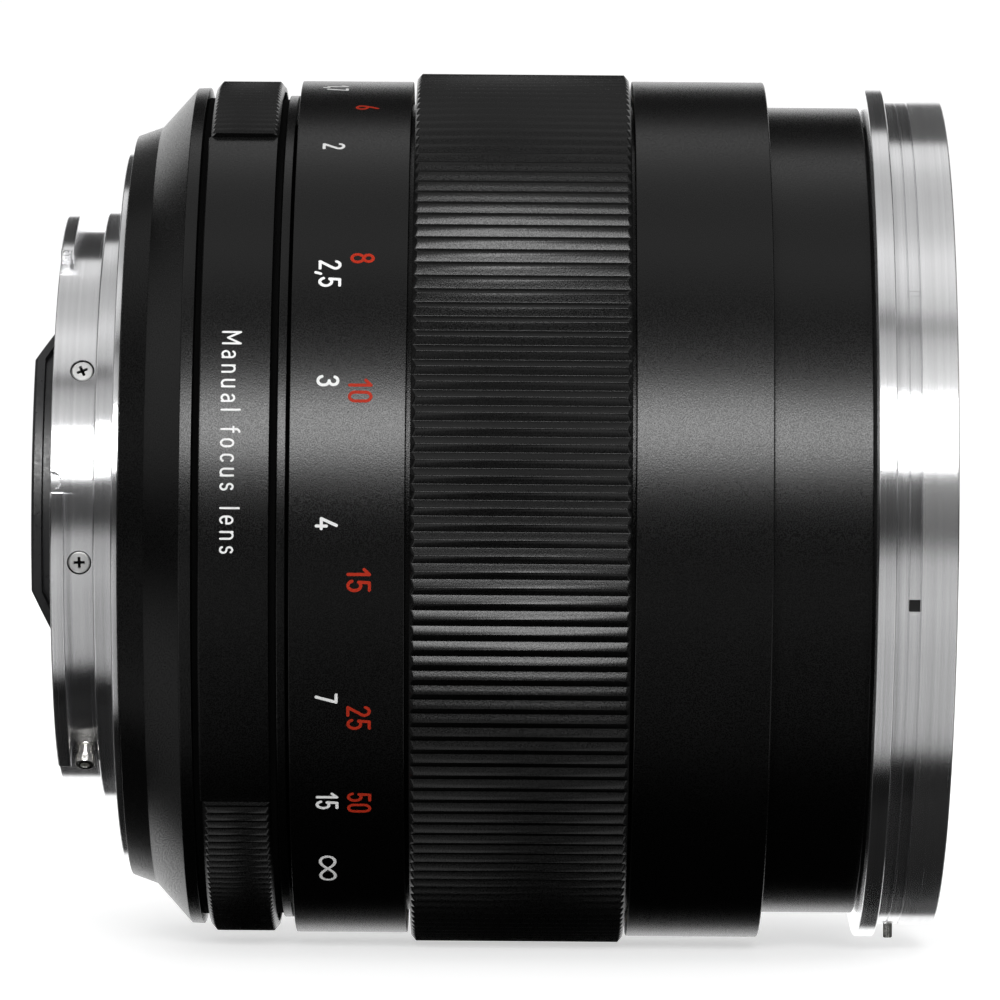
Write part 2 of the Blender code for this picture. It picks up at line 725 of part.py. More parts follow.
def make_cells(barrel):
    turned(
        "front_retaining_ring",
        [
            (RETAINER_FRONT, RETAINER_OUTER),
            (RETAINER_STEP, RETAINER_OUTER),
            (RETAINER_STEP, RETAINER_SKIRT[1]),
            (RETAINER_BACK, RETAINER_SKIRT[1]),
            (RETAINER_BACK, RETAINER_SKIRT[0]),
            (RETAINER_STEP - 0.2, RETAINER_SKIRT[0]),
            (RETAINER_FRONT, RETAINER_LIP),
        ],
        INNER_SIDES,
        barrel,
        MATTE_BLACK,
    )
    section = [(CELL_FRONT, CELL_SKINS[0]), (CELL_FRONT, CELL_BORES[0])]
    for station, before, after in zip(CELL_SEATS, CELL_BORES, CELL_BORES[1:]):
        section += [(station, before), (station, after)]
    section.append((CELL_SHOULDERS[3], CELL_BORES[3]))
    section.append((CELL_SHOULDERS[3], CELL_SKINS[3]))
    for k in (2, 1, 0):
        section += [(CELL_SHOULDERS[k], CELL_SKINS[k + 1]), (CELL_SHOULDERS[k], CELL_SKINS[k])]
    turned("front_cell", section, INNER_SIDES, barrel, MATTE_BLACK)

    back, step, shoulder, front = REAR_CELL_STATIONS
    section = [
        (front, REAR_CELL_FLANGE),
        (front, REAR_CELL_BORES[1]),
        (step, REAR_CELL_BORES[1]),
        (step, REAR_CELL_BORES[0]),
        (back, REAR_CELL_BORES[0]),
        (back, REAR_CELL_SKIN),
        (shoulder, REAR_CELL_SKIN),
        (shoulder, REAR_CELL_FLANGE),
    ]
    turned("rear_cell", section, INNER_SIDES, barrel, MATTE_BLACK)
    for name, (back, front), bore in (
        ("rear_spacer", SPACER_STATIONS, SPACER_BORE),
        ("rear_retaining_ring", REAR_RETAINER_STATIONS, REAR_RETAINER_BORE),
    ):
        outer = REAR_RINGS_OUTER
        section = [(back, bore), (back, outer), (front, outer), (front, bore)]
        turned(name, section, HIDDEN_SIDES, barrel, MATTE_BLACK)


def make_iris_housing(barrel):
    floor = HOUSING_BACK + HOUSING_PLATE
    section = [
        (HOUSING_BACK, BLADE_INNER + 0.2),
        (HOUSING_BACK, HOUSING_RADIUS),
        (HOUSING_FRONT, HOUSING_RADIUS),
        (HOUSING_FRONT, HOUSING_RADIUS - HOUSING_WALL),
        (floor, HOUSING_RADIUS - HOUSING_WALL),
        (floor, BLADE_INNER + 0.2),
    ]
    housing = turned("iris_housing", section, INNER_SIDES, barrel, MATTE_BLACK)
    angles = [ROLL + 360 / BLADE_COUNT * k for k in range(BLADE_COUNT)]
    hole = (HOUSING_BACK - 1, floor + 0.2, PIVOT_RING)
    holes = [axial_rod(*hole, angle, PIVOT_RADIUS + GAP) for angle in angles]
    combine(housing, add_cutter("pivot_holes", rod_mesh("pivot_holes", holes)), "DIFFERENCE")

    y, z = on_ring(MOTOR_RING, ROLL + MOTOR_ANGLE)
    round_shaft = ring_points(PIVOT_RADIUS + GAP, PIN_SIDES)
    shaft_hole = [(y + around_y, z + around_z) for around_y, around_z in round_shaft]
    rings = [
        ring_points(COVER_OUTER, INNER_SIDES),
        ring_points(COVER_INNER, INNER_SIDES),
        shaft_hole,
    ]
    plate("iris_cover_plate", rings, COVER_BACK, COVER_FRONT, barrel, MATTE_BLACK)
    angle = ROLL + MOTOR_ANGLE
    motor = axial_rod(COVER_FRONT + GAP, MOTOR_FRONT, MOTOR_RING, angle, MOTOR_RADIUS)
    add_part("iris_motor", rod_mesh("iris_motor", [motor], 20), barrel, STEEL)


def make_drive_ring(iris):
    """A flat ring with an open notch for each blade's drive pin and one for the motor's arm."""
    notches = [ROLL + 360 / BLADE_COUNT * k for k in range(BLADE_COUNT)]
    notches = sorted(notches + [ROLL + MOTOR_ANGLE])
    rest = math.degrees(DRIVE_HALF_TURN)
    outline = []
    for angle, following in zip(notches, notches[1:] + [notches[0] + 360]):
        centre = angle - rest
        wide = math.degrees(NOTCH_WIDTH / 2 / DRIVE_OUTER)
        deep = math.degrees(NOTCH_WIDTH / 2 / NOTCH_FLOOR)
        outline.append(on_ring(DRIVE_OUTER, centre - wide))
        outline.append(on_ring(NOTCH_FLOOR, centre - deep))
        outline.append(on_ring(NOTCH_FLOOR, centre + deep))
        outline += arc_points(DRIVE_OUTER, centre + wide, following - rest - wide, 4)[:-1]
    rings = [outline, ring_points(DRIVE_INNER, INNER_SIDES)]
    front = DRIVE_BACK + DRIVE_THICKNESS
    plate("iris_drive_ring", rings, DRIVE_BACK, front, iris, STEEL)


def from_pivot(ring, point):
    return (point[0] + ring, point[1])


def blade_outline():
    """A crescent with an ear that carries the pivot and the drive pin, seen from its pivot."""
    arm = math.degrees(HALF_SWING)
    outline = arc_points(BLADE_INNER, -3.5, BLADE_SPAN, 9)
    outline.append(on_ring((BLADE_INNER + BLADE_OUTER) / 2, BLADE_SPAN + 4))
    outline += arc_points(BLADE_OUTER, BLADE_SPAN, 6, 9)
    outline = [from_pivot(PIVOT_RING, point) for point in outline]
    drive_y, drive_z = on_ring(DRIVE_ARM, -arm)
    for turn in (90, 0, -90):
        y, z = on_ring(BLADE_EAR, turn - arm)
        outline.append((drive_y + y, drive_z + z))
    outline.append(on_ring(1.2, -90))
    return outline


def make_blades(barrel):
    outline = blade_outline()
    arm = math.degrees(HALF_SWING)
    drive_end = DRIVE_BACK + DRIVE_THICKNESS
    for k in range(BLADE_COUNT):
        back = BLADE_BACK + BLADE_PITCH * k
        front = back + BLADE_THICKNESS
        angle = ROLL + 360 / BLADE_COUNT * k
        name = f"iris_blade_{k + 1}"
        pivot = (back, *on_ring(PIVOT_RING, angle))
        axis = add_empty(f"{name}_pivot", pivot)
        axis.parent = barrel
        axis.rotation_euler = (math.radians(angle), 0, 0)
        item = add_part(name, plate_mesh(name, [outline], BLADE_THICKNESS), axis, MATTE_BLACK)
        across_axis(item, 0, BLADE_THICKNESS)
        middle = BLADE_THICKNESS / 2
        drive = on_ring(DRIVE_ARM, -arm)
        pins = [
            ((HOUSING_BACK + 0.2 - back, 0, 0), (middle, 0, 0), PIVOT_RADIUS, PIVOT_RADIUS),
            ((middle, *drive), (drive_end - back, *drive), PIVOT_RADIUS, PIVOT_RADIUS),
        ]
        tool = add_cutter(f"{name}_pins", rod_mesh("pins", pins, 6))
        tool.parent = axis
        combine(item, tool, "UNION")


def make_motor_arm(barrel):
    swing = math.degrees(MOTOR_HALF_SWING)
    angle = ROLL + MOTOR_ANGLE
    axis = add_empty("iris_motor_axis", (0, *on_ring(MOTOR_RING, angle)))
    axis.parent = barrel
    axis.rotation_euler = (math.radians(angle), 0, 0)
    outline = [on_ring(0.9, -swing + turn) for turn in (90, 135, 180, 225, 270)]
    tip_y, tip_z = on_ring(MOTOR_ARM, -swing)
    for turn in (-90, -45, 0, 45, 90):
        y, z = on_ring(0.8, -swing + turn)
        outline.append((tip_y + y, tip_z + z))
    item = add_part("iris_motor_arm", plate_mesh("arm", [outline], ARM_THICKNESS), axis, STEEL)
    across_axis(item, ARM_BACK, ARM_BACK + ARM_THICKNESS)
    middle = ARM_BACK + ARM_THICKNESS / 2
    rods = [
        ((middle, 0, 0), (COVER_FRONT, 0, 0), PIVOT_RADIUS, PIVOT_RADIUS),
        ((DRIVE_BACK + 0.1, tip_y, tip_z), (middle, tip_y, tip_z), PIVOT_RADIUS, PIVOT_RADIUS),
    ]
    tool = add_cutter("iris_motor_arm_pins", rod_mesh("arm_pins", rods, 8))
    tool.parent = axis
    combine(item, tool, "UNION")


def build_lens():
    frame = add_empty("fixed_frame")
    focus = add_empty("focus_axis")
    barrel = add_empty("optical_axis")
    iris = add_empty("iris_axis")
    iris.parent = barrel
    screw_holes = make_bayonet(frame)
    make_contacts(frame)
    make_rear_barrel(frame, screw_holes)
    make_rear_grip(frame)
    make_fixed_sleeve(frame)
    make_focus_ring(focus)
    make_barrel_shell(barrel)
    make_guide_keys(barrel)
    make_elements(barrel)
    make_cells(barrel)
    make_iris_housing(barrel)
    make_drive_ring(iris)
    make_blades(barrel)
    make_motor_arm(barrel)


build_lens()
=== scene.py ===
"""Looks of a manual-focus prime camera lens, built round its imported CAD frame.

The optical axis is X, the front of the lens towards +X. Working dimensions are in millimetres and
are turned into metres where meshes are made. Angles run round the axis from -Y, by the right-hand
rule about +X, so 90 degrees points down.
"""

import math

import bmesh
import bpy
import numpy as np
from mathutils import Matrix, Vector


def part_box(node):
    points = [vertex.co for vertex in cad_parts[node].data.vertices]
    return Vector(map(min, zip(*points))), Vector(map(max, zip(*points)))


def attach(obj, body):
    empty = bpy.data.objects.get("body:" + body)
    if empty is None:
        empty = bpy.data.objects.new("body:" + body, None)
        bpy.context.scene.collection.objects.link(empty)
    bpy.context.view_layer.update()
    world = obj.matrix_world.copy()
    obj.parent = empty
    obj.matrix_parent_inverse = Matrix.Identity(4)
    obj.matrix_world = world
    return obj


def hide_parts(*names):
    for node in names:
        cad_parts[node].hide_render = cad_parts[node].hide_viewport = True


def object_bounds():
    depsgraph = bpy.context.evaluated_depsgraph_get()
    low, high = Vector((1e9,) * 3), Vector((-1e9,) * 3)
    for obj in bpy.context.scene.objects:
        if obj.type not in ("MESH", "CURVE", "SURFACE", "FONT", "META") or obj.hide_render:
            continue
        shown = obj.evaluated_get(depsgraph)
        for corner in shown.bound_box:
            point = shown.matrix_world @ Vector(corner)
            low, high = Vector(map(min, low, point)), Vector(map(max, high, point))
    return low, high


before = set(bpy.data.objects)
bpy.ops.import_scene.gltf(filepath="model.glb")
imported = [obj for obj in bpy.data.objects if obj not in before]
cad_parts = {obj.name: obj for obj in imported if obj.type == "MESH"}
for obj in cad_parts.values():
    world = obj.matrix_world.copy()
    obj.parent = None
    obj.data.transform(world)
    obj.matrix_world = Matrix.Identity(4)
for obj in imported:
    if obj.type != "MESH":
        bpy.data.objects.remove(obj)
CAD_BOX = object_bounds()

MM = 0.001
ROUND = 192
FINE = 256
SHARP = 28.0


def span(node):
    """A node's rear and front stations and its largest radius, in millimetres."""
    low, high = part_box(node)
    return low.x / MM, high.x / MM, max(high.z, -low.z) / MM


# ---- geometry helpers


def on_ring(radius, degrees):
    a = math.radians(degrees)
    return (-radius * math.cos(a), -radius * math.sin(a))


def rounded(corners, steps=4, closed=True, support=0.05):
    """A profile of (x, r) points in which each corner's third number is its fillet radius."""
    points = []
    count = len(corners)
    for k, corner in enumerate(corners):
        here = np.array(corner[:2], float)
        fillet = corner[2] if len(corner) > 2 else 0.0
        if fillet == 0 or (not closed and k in (0, count - 1)):
            points.append(tuple(here))
            continue
        back = np.array(corners[k - 1][:2], float) - here
        on = np.array(corners[(k + 1) % count][:2], float) - here
        reach_back, reach_on = np.linalg.norm(back), np.linalg.norm(on)
        back, on = back / reach_back, on / reach_on
        half = math.acos(np.clip(back @ on, -1, 1)) / 2
        reach = min(fillet / math.tan(half), 0.48 * reach_back, 0.48 * reach_on)
        middle = (back + on) / np.linalg.norm(back + on)
        centre = here + middle * reach / math.cos(half)
        start, end = here + back * reach - centre, here + on * reach - centre
        sweep = math.atan2(start[0] * end[1] - start[1] * end[0], start @ end)
        edge_back = min(support, 0.3 * (reach_back - reach))
        edge_on = min(support, 0.3 * (reach_on - reach))
        points.append(tuple(here + back * (reach + edge_back)))
        for step in range(steps + 1):
            a = sweep * step / steps
            c, s = math.cos(a), math.sin(a)
            x = centre[0] + start[0] * c - start[1] * s
            r = centre[1] + start[0] * s + start[1] * c
            points.append((x, r))
        points.append(tuple(here + on * (reach + edge_on)))
    return points


def add_mesh(name, points, faces):
    mesh = bpy.data.meshes.new(name)
    mesh.from_pydata(np.asarray(points, float).tolist(), [], faces)
    mesh.update()
    return mesh


def add_piece(name, mesh, body, material, replaces=(), sharp=SHARP):
    """Links a mesh as a piece on a body, with its material and the nodes that it stands for."""
    mesh.materials.clear()
    mesh.materials.append(material)
    mesh.shade_smooth()
    mesh.set_sharp_from_angle(angle=math.radians(sharp))
    item = bpy.data.objects.new(name, mesh)
    bpy.context.scene.collection.objects.link(item)
    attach(item, body)
    if replaces:
        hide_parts(*replaces)
    return item


def wrap(name, xs, rs, degrees=None, arc=False):
    """A closed section carried round the axis, or along an arc with flat ends: rows are its points,
    and columns are angles."""
    xs, rs = np.broadcast_arrays(np.asarray(xs, float), np.asarray(rs, float))
    rows, cols = rs.shape
    a = np.radians(np.arange(cols) * 360 / cols if degrees is None else np.asarray(degrees, float))
    points = np.stack([xs, -rs * np.cos(a), -rs * np.sin(a)], -1).reshape(-1, 3) * MM
    i = np.arange(rows)[:, None]
    j = np.arange(cols - 1 if arc else cols)[None, :]
    i_next, j_next = (i + 1) % rows, (j + 1) % cols
    quads = [i * cols + j, i_next * cols + j, i_next * cols + j_next, i * cols + j_next]
    mean_x, mean_r = xs.mean(1), rs.mean(1)
    area = (mean_x * np.roll(mean_r, -1) - np.roll(mean_x, -1) * mean_r).sum()
    if area < 0:
        quads.reverse()
    faces = np.stack([np.broadcast_to(q, (rows, j.size)) for q in quads], -1).reshape(-1, 4).tolist()
    if arc:
        first = (np.arange(rows) * cols).tolist()
        last = [n + cols - 1 for n in first]
        faces += [first[::-1], last] if area > 0 else [first, last[::-1]]
    return add_mesh(name, points, faces)


def lathe(name, profile, sides=ROUND):
    points = np.array(profile, float)
    mesh = wrap(name, np.repeat(points[:, :1], sides, 1), np.repeat(points[:, 1:2], sides, 1))
    if (points[:, 1] <= 0).any():
        form = bmesh.new()
        form.from_mesh(mesh)
        bmesh.ops.remove_doubles(form, verts=form.verts, dist=1e-8)
        form.to_mesh(mesh)
        form.free()
    return mesh


def add_turned(name, profile, body, material, replaces=(), sides=ROUND, sharp=SHARP):
    return add_piece(name, lathe(name, profile, sides), body, material, replaces, sharp)


def arc_block(name, profile, start, end, fillet=0.15, step=1.0):
    """A section carried along an arc, with its ends rounded."""
    points = np.array(profile, float)
    centre = points.mean(0)
    size = np.ptp(points, axis=0)
    radius = points[:, 1].max()
    ease = np.array([0, 0.07, 0.2, 0.42, 0.7, 1.0])
    inset = fillet * (1 - np.sqrt(1 - (1 - ease) ** 2))
    edge = math.degrees(fillet / radius) * ease
    inner = np.linspace(start + edge[-1], end - edge[-1], max(2, int((end - start) / step)))
    degrees = np.concatenate([start + edge[:-1], inner, (end - edge[:-1])[::-1]])
    insets = np.concatenate([inset[:-1], np.zeros(inner.size), inset[:-1][::-1]])
    scale = 1 - 2 * insets[None, :, None] / size
    grid = centre + (points[:, None, :] - centre) * scale
    return wrap(name, grid[..., 0], grid[..., 1], degrees, arc=True)


def shaped(item, tools):
    """Cuts tool meshes out of a mesh object's data by exact Booleans."""
    scene = bpy.context.scene
    holders = []
    for number, tool in enumerate(tools):
        holder = bpy.data.objects.new(f"tool_{number}", tool)
        scene.collection.objects.link(holder)
        modifier = item.modifiers.new("cut", "BOOLEAN")
        modifier.operation = "DIFFERENCE"
        modifier.solver = "EXACT"
        modifier.object = holder
        holders.append(holder)
    bpy.context.view_layer.update()
    made = bpy.data.meshes.new_from_object(item.evaluated_get(bpy.context.evaluated_depsgraph_get()))
    item.modifiers.clear()
    for holder in holders:
        bpy.data.objects.remove(holder)
    item.data = made
    made.shade_smooth()
    made.set_sharp_from_angle(angle=math.radians(SHARP))
    return item


def true_normals(item, radial=0.985):
    """Gives faces that lie on cylinders round the axis their exact radial normals."""
    mesh = item.data
    normals = np.zeros(len(mesh.loops) * 3, np.float32)
    mesh.corner_normals.foreach_get("vector", normals)
    normals = normals.reshape(-1, 3)
    verts = np.zeros(len(mesh.vertices) * 3, np.float32)
    mesh.vertices.foreach_get("co", verts)
    verts = verts.reshape(-1, 3)
    index = np.zeros(len(mesh.loops), np.int32)
    mesh.loops.foreach_get("vertex_index", index)
    for polygon in mesh.polygons:
        loops = np.arange(polygon.loop_start, polygon.loop_start + polygon.loop_total)
        away = verts[index[loops]] * (0, 1, 1)
        away /= np.linalg.norm(away, axis=1)[:, None]
        facing = away @ np.array(polygon.normal)
        if (np.abs(facing) > radial).all():
            normals[loops] = away * np.sign(facing)[:, None]
    mesh.normals_split_custom_set(normals.tolist())


def turned_local(profile, sides=32):
    """A small lathed form about its own Z, from (z, r) points in millimetres, as a bmesh."""
    form = bmesh.new()
    rings = []
    for z, r in profile:
        ring = []
        for k in range(sides):
            a = math.tau * k / sides
            ring.append(form.verts.new((r * math.cos(a) * MM, r * math.sin(a) * MM, z * MM)))
        rings.append(ring)
    for low, high in zip(rings, rings[1:]):
        for k in range(sides):
            form.faces.new((low[k], low[(k + 1) % sides], high[(k + 1) % sides], high[k]))
    form.faces.new(rings[0][::-1])
    form.faces.new(rings[-1])
    bmesh.ops.recalc_face_normals(form, faces=form.faces)
    return form


def to_mesh(form, name, matrix=Matrix.Identity(4)):
    mesh = bpy.data.meshes.new(name)
    form.transform(matrix)
    form.to_mesh(mesh)
    form.free()
    return mesh


def radial_place(x, radius, degrees, spin=0.0):
    """A matrix that stands local Z outwards from the axis at a station, radius and angle."""
    y, z = on_ring(radius, degrees)
    outward = Vector((0, *on_ring(1, degrees)))
    turn = Matrix((Vector((1, 0, 0)), outward.cross(Vector((1, 0, 0))), outward)).transposed()
    place = Matrix.Translation(Vector((x, y, z)) * MM) @ turn.to_4x4()
    return place @ Matrix.Rotation(math.radians(spin), 4, "Z")


def axial_place(x, ring, degrees, spin=0.0):
    """A matrix that stands local Z towards -X at a station, ring radius and angle."""
    turn = Matrix.Rotation(-math.pi / 2, 4, "Y") @ Matrix.Rotation(math.radians(spin), 4, "Z")
    return Matrix.Translation(Vector((x, *on_ring(ring, degrees))) * MM) @ turn


# ---- materials


def new_material(name, colour, roughness, metallic=0.0, **sockets):
    material = bpy.data.materials.new(name)
    material.use_nodes = True
    tree = material.node_tree
    shader = tree.nodes["Principled BSDF"]
    shader.inputs["Base Color"].default_value = (*colour, 1)
    shader.inputs["Roughness"].default_value = roughness
    shader.inputs["Metallic"].default_value = metallic
    for socket, value in sockets.items():
        shader.inputs[socket.replace("_", " ")].default_value = value
    return material, tree, shader


def place_node(tree, kind, **settings):
    made = tree.nodes.new(kind)
    for key, value in settings.items():
        setattr(made, key, value)
    return made


def maths(tree, operation, *values):
    made = place_node(tree, "ShaderNodeMath", operation=operation)
    for socket, value in zip(made.inputs, values):
        if isinstance(value, (int, float)):
            socket.default_value = value
        else:
            tree.links.new(value, socket)
    return made.outputs[0]


def noise(tree, vector, scale, detail=2.0, roughness=0.5):
    made = place_node(tree, "ShaderNodeTexNoise")
    made.inputs["Scale"].default_value = scale
    made.inputs["Detail"].default_value = detail
    made.inputs["Roughness"].default_value = roughness
    tree.links.new(vector, made.inputs["Vector"])
    return made.outputs["Fac"]


def spread(tree, value, low, high, from_low=0.3, from_high=0.7):
    made = place_node(tree, "ShaderNodeMapRange")
    for socket, number in zip(("From Min", "From Max", "To Min", "To Max"), (from_low, from_high, low, high)):
        made.inputs[socket].default_value = number
    tree.links.new(value, made.inputs["Value"])
    return made.outputs["Result"]


def tint(tree, value, dark, light):
    made = place_node(tree, "ShaderNodeMix", data_type="RGBA")
    tree.links.new(value, made.inputs["Factor"])
    for socket in made.inputs:
        if socket.type == "RGBA" and socket.name == "A":
            socket.default_value = (*dark, 1)
        if socket.type == "RGBA" and socket.name == "B":
            socket.default_value = (*light, 1)
    return next(socket for socket in made.outputs if socket.type == "RGBA")


def bump(tree, shader, height, distance):
    made = place_node(tree, "ShaderNodeBump")
    made.inputs["Strength"].default_value = 1.0
    made.inputs["Distance"].default_value = distance
    tree.links.new(height, made.inputs["Height"])
    tree.links.new(made.outputs["Normal"], shader.inputs["Normal"])


def object_coordinates(tree):
    return place_node(tree, "ShaderNodeTexCoord").outputs["Object"]


def turned_coordinates(tree, drift=0.002):
    """(x, distance from the axis, a slight drift round it): the grain that a lathe leaves."""
    point = object_coordinates(tree)
    parts = place_node(tree, "ShaderNodeSeparateXYZ")
    tree.links.new(point, parts.inputs[0])
    squares = [maths(tree, "POWER", parts.outputs[k], 2.0) for k in (1, 2)]
    radius = maths(tree, "SQRT", maths(tree, "ADD", *squares))
    joined = place_node(tree, "ShaderNodeCombineXYZ")
    tree.links.new(parts.outputs[0], joined.inputs[0])
    tree.links.new(radius, joined.inputs[1])
    tree.links.new(maths(tree, "MULTIPLY", parts.outputs[1], drift), joined.inputs[2])
    return joined.outputs[0]


SPARKLE = 0.055  # how far the roughness of single grains strays from the mean


def grained(name, colour, roughness, grain, height, spread_by=0.06, **sockets):
    """An anodised or blasted finish: fine grain in the surface and a slow unevenness in its tone."""
    material, tree, shader = new_material(name, colour, roughness, **sockets)
    point = object_coordinates(tree)
    speck = noise(tree, point, 1.3 / (grain * MM), 1.0, 0.6)
    sparkle = spread(tree, speck, SPARKLE, -SPARKLE, 0.35, 0.65)
    fine = noise(tree, point, 1 / (grain * MM), 1.5, 0.55)
    slow = noise(tree, point, 45.0, 3.0)
    bump(tree, shader, fine, height * MM)
    uneven = maths(tree, "ADD", maths(tree, "MULTIPLY", fine, 0.6), maths(tree, "MULTIPLY", slow, 0.4))
    rough = spread(tree, uneven, roughness - spread_by, roughness + spread_by)
    tree.links.new(maths(tree, "ADD", rough, sparkle), shader.inputs["Roughness"])
    darker = tuple(0.75 * c for c in colour)
    lighter = tuple(min(0.98, 1.3 * c) for c in colour)
    tree.links.new(tint(tree, spread(tree, slow, 0, 1), darker, lighter), shader.inputs["Base Color"])
    return material


def turned_metal(name, colour, roughness, pitch, height, anisotropy=0.6, spread_by=0.05, hazy_from=None):
    """Bright metal with the circular lines of turning, which blur its reflections across them. Beyond
    the station hazy_from, in millimetres, it has a thin haze over it."""
    material, tree, shader = new_material(
        name, colour, roughness, 1.0, Anisotropic=anisotropy, Anisotropic_Rotation=0.25,
    )
    point = turned_coordinates(tree)
    lines = noise(tree, point, 1 / (pitch * MM), 3.0, 0.6)
    wide = noise(tree, point, 0.12 / (pitch * MM), 2.0)
    both = maths(tree, "ADD", maths(tree, "MULTIPLY", lines, 0.7), maths(tree, "MULTIPLY", wide, 0.3))
    bump(tree, shader, both, height * MM)
    rough = spread(tree, both, roughness - spread_by, roughness + spread_by)
    tree.links.new(rough, shader.inputs["Roughness"])
    darker = tuple(0.93 * c for c in colour)
    lighter = tuple(min(1.0, 1.05 * c) for c in colour)
    tree.links.new(tint(tree, spread(tree, wide, 0, 1), darker, lighter), shader.inputs["Base Color"])
    parts = place_node(tree, "ShaderNodeSeparateXYZ")
    tree.links.new(object_coordinates(tree), parts.inputs[0])
    tangent = place_node(tree, "ShaderNodeCombineXYZ")
    tree.links.new(maths(tree, "MULTIPLY", parts.outputs[2], -1.0), tangent.inputs[1])
    tree.links.new(parts.outputs[1], tangent.inputs[2])
    tangent.inputs[0].default_value = 0.0015  # faces square to the turning still get a direction
    around = place_node(tree, "ShaderNodeVectorMath", operation="NORMALIZE")
    tree.links.new(tangent.outputs[0], around.inputs[0])
    tree.links.new(around.outputs[0], shader.inputs["Tangent"])
    if hazy_from:
        haze = spread(tree, parts.outputs[0], 0, 1, hazy_from * MM, (hazy_from + 0.01) * MM)
        tree.links.new(haze, shader.inputs["Coat Weight"])
        shader.inputs["Coat Roughness"].default_value = 0.55
        shader.inputs["Coat IOR"].default_value = 1.9
    return material


DULL = {"Specular_IOR_Level": 0.31}
BLACK = grained("satin_black_anodised", (0.0006,) * 3, 0.27, 0.14, 0.008, 0.02, **DULL)
RIBBED = grained("ribbed_black_anodised", (0.001,) * 3, 0.29, 0.14, 0.01, 0.02, **DULL)
MATTE = grained("matte_black_blasted", (0.004,) * 3, 0.6, 0.12, 0.02, **DULL)
# Near-black finish with almost no reflection, put in the barrel's gaps, under screw heads and on the fixed
# sleeve: painted shade, so these places read as shadowed.
SHADE_BLACK = grained("painted_gap_shade_black", (0.0015,) * 3, 0.9, 0.12, 0.01, Specular_IOR_Level=0.06)
PLASTIC = grained("black_moulded_plastic", (0.012, 0.012, 0.013), 0.36, 0.35, 0.006)
CHROME = turned_metal("turned_satin_chrome", (0.82, 0.82, 0.83), 0.24, 0.05, 0.0012, 1.0, 0.04)
RING_CHROME = turned_metal("turned_ring_chrome", (0.82, 0.82, 0.83), 0.24, 0.05, 0.0012, 1.0, 0.04, 69.2)
STEEL = turned_metal("bright_nickel_steel", (0.66, 0.65, 0.62), 0.24, 0.08, 0.001, 0.2)
GOLD = turned_metal("gold_plate", (0.93, 0.7, 0.32), 0.2, 0.08, 0.001, 0.1)
BRASS = turned_metal("machined_brass", (0.75, 0.56, 0.27), 0.3, 0.06, 0.002)
HEAD_STEEL = turned_metal("screw_head_steel", (0.7, 0.7, 0.69), 0.42, 0.08, 0.001, 0.1)
WHITE = grained("white_engraving_paint", (0.95, 0.95, 0.94), 0.6, 0.1, 0.006, Specular_IOR_Level=0.1)
ORANGE = grained("orange_engraving_paint", (0.4, 0.024, 0.008), 0.6, 0.1, 0.006, Specular_IOR_Level=0.12)
RED = grained("red_index_paint", (0.55, 0.02, 0.015), 0.18, 0.6, 0.002, 0.03)


def make_glass(name, film):
    material, tree, shader = new_material(
        name, (0.985, 0.99, 0.985), 0.0, Transmission_Weight=1.0, IOR=1.6,
        Thin_Film_Thickness=film, Thin_Film_IOR=1.38,
    )
    smudge = noise(tree, object_coordinates(tree), 90.0, 4.0)
    tree.links.new(spread(tree, smudge, 0.0, 0.025, 0.45, 0.8), shader.inputs["Roughness"])
    return material


GLASS = [make_glass(f"coated_glass_{k + 1}", film) for k, film in enumerate((330, 410, 360, 440, 380, 350))]


def make_board():
    material, tree, shader = new_material("solder_masked_board", (0.02, 0.11, 0.045), 0.38)
    point = object_coordinates(tree)
    cells = place_node(tree, "ShaderNodeTexVoronoi", feature="DISTANCE_TO_EDGE")
    cells.inputs["Scale"].default_value = 420.0
    tree.links.new(point, cells.inputs["Vector"])
    tracks = spread(tree, cells.outputs["Distance"], 1, 0, 0.03, 0.06)
    tree.links.new(tint(tree, tracks, (0.018, 0.1, 0.04), (0.05, 0.2, 0.08)), shader.inputs["Base Color"])
    bump(tree, shader, tracks, 0.02 * MM)
    return material


BOARD = make_board()


# ---- the bayonet mount

ROLL = -8.0
NECK_REAR, MOUNT_FRONT, FLANGE_RADIUS = span("bayonet_mount")
NECK_RADIUS = 24.95
NECK_BORE = 22.6
LUG_REAR, LUG_FRONT, LUG_RADIUS = -5.57, -4.35, 26.35
LUG_STARTS = (-2.4, 117.6, 237.6)
LUG_SPAN = 64.0
SPIGOT_REAR, SPIGOT_RADIUS = -1.86, 26.65
SCREW_RING = 29.2
SCREW_ANGLES = (37.0, 127.0, 217.0, 307.0)
HOLE_X = -3.1
BLOCK_SCREWS = ((-27.9, 24.0), (11.6, 2.0))
PIN_ANGLE, PIN_TIP = 59.0, 26.8
RELIEF_X, RELIEF_ANGLE, RELIEF_RADIUS = -5.5, -4.7, 0.86


def rod(radius, low, high, matrix, sides=40):
    return to_mesh(turned_local([(low, radius), (high, radius)], sides), "rod", matrix)


def cross_tools(length, width, depth, matrix):
    """The tapered bars and the tip that sink the cross recess of a screw head from local Z = 0."""
    tools = []
    for turn in (0, math.pi / 2):
        form = bmesh.new()
        size = Matrix.Diagonal((length * MM, width * MM, 2 * depth * MM, 1))
        for vert in bmesh.ops.create_cube(form, size=1, matrix=size)["verts"]:
            if vert.co.z < 0:
                vert.co.x *= 0.7
        tools.append(to_mesh(form, "bar", matrix @ Matrix.Rotation(turn, 4, "Z")))
    tip = turned_local([(-depth * 1.2, 0.02), (-depth * 0.3, width * 0.72), (0.2, width * 0.95)], 16)
    return [*tools, to_mesh(tip, "tip", matrix)]


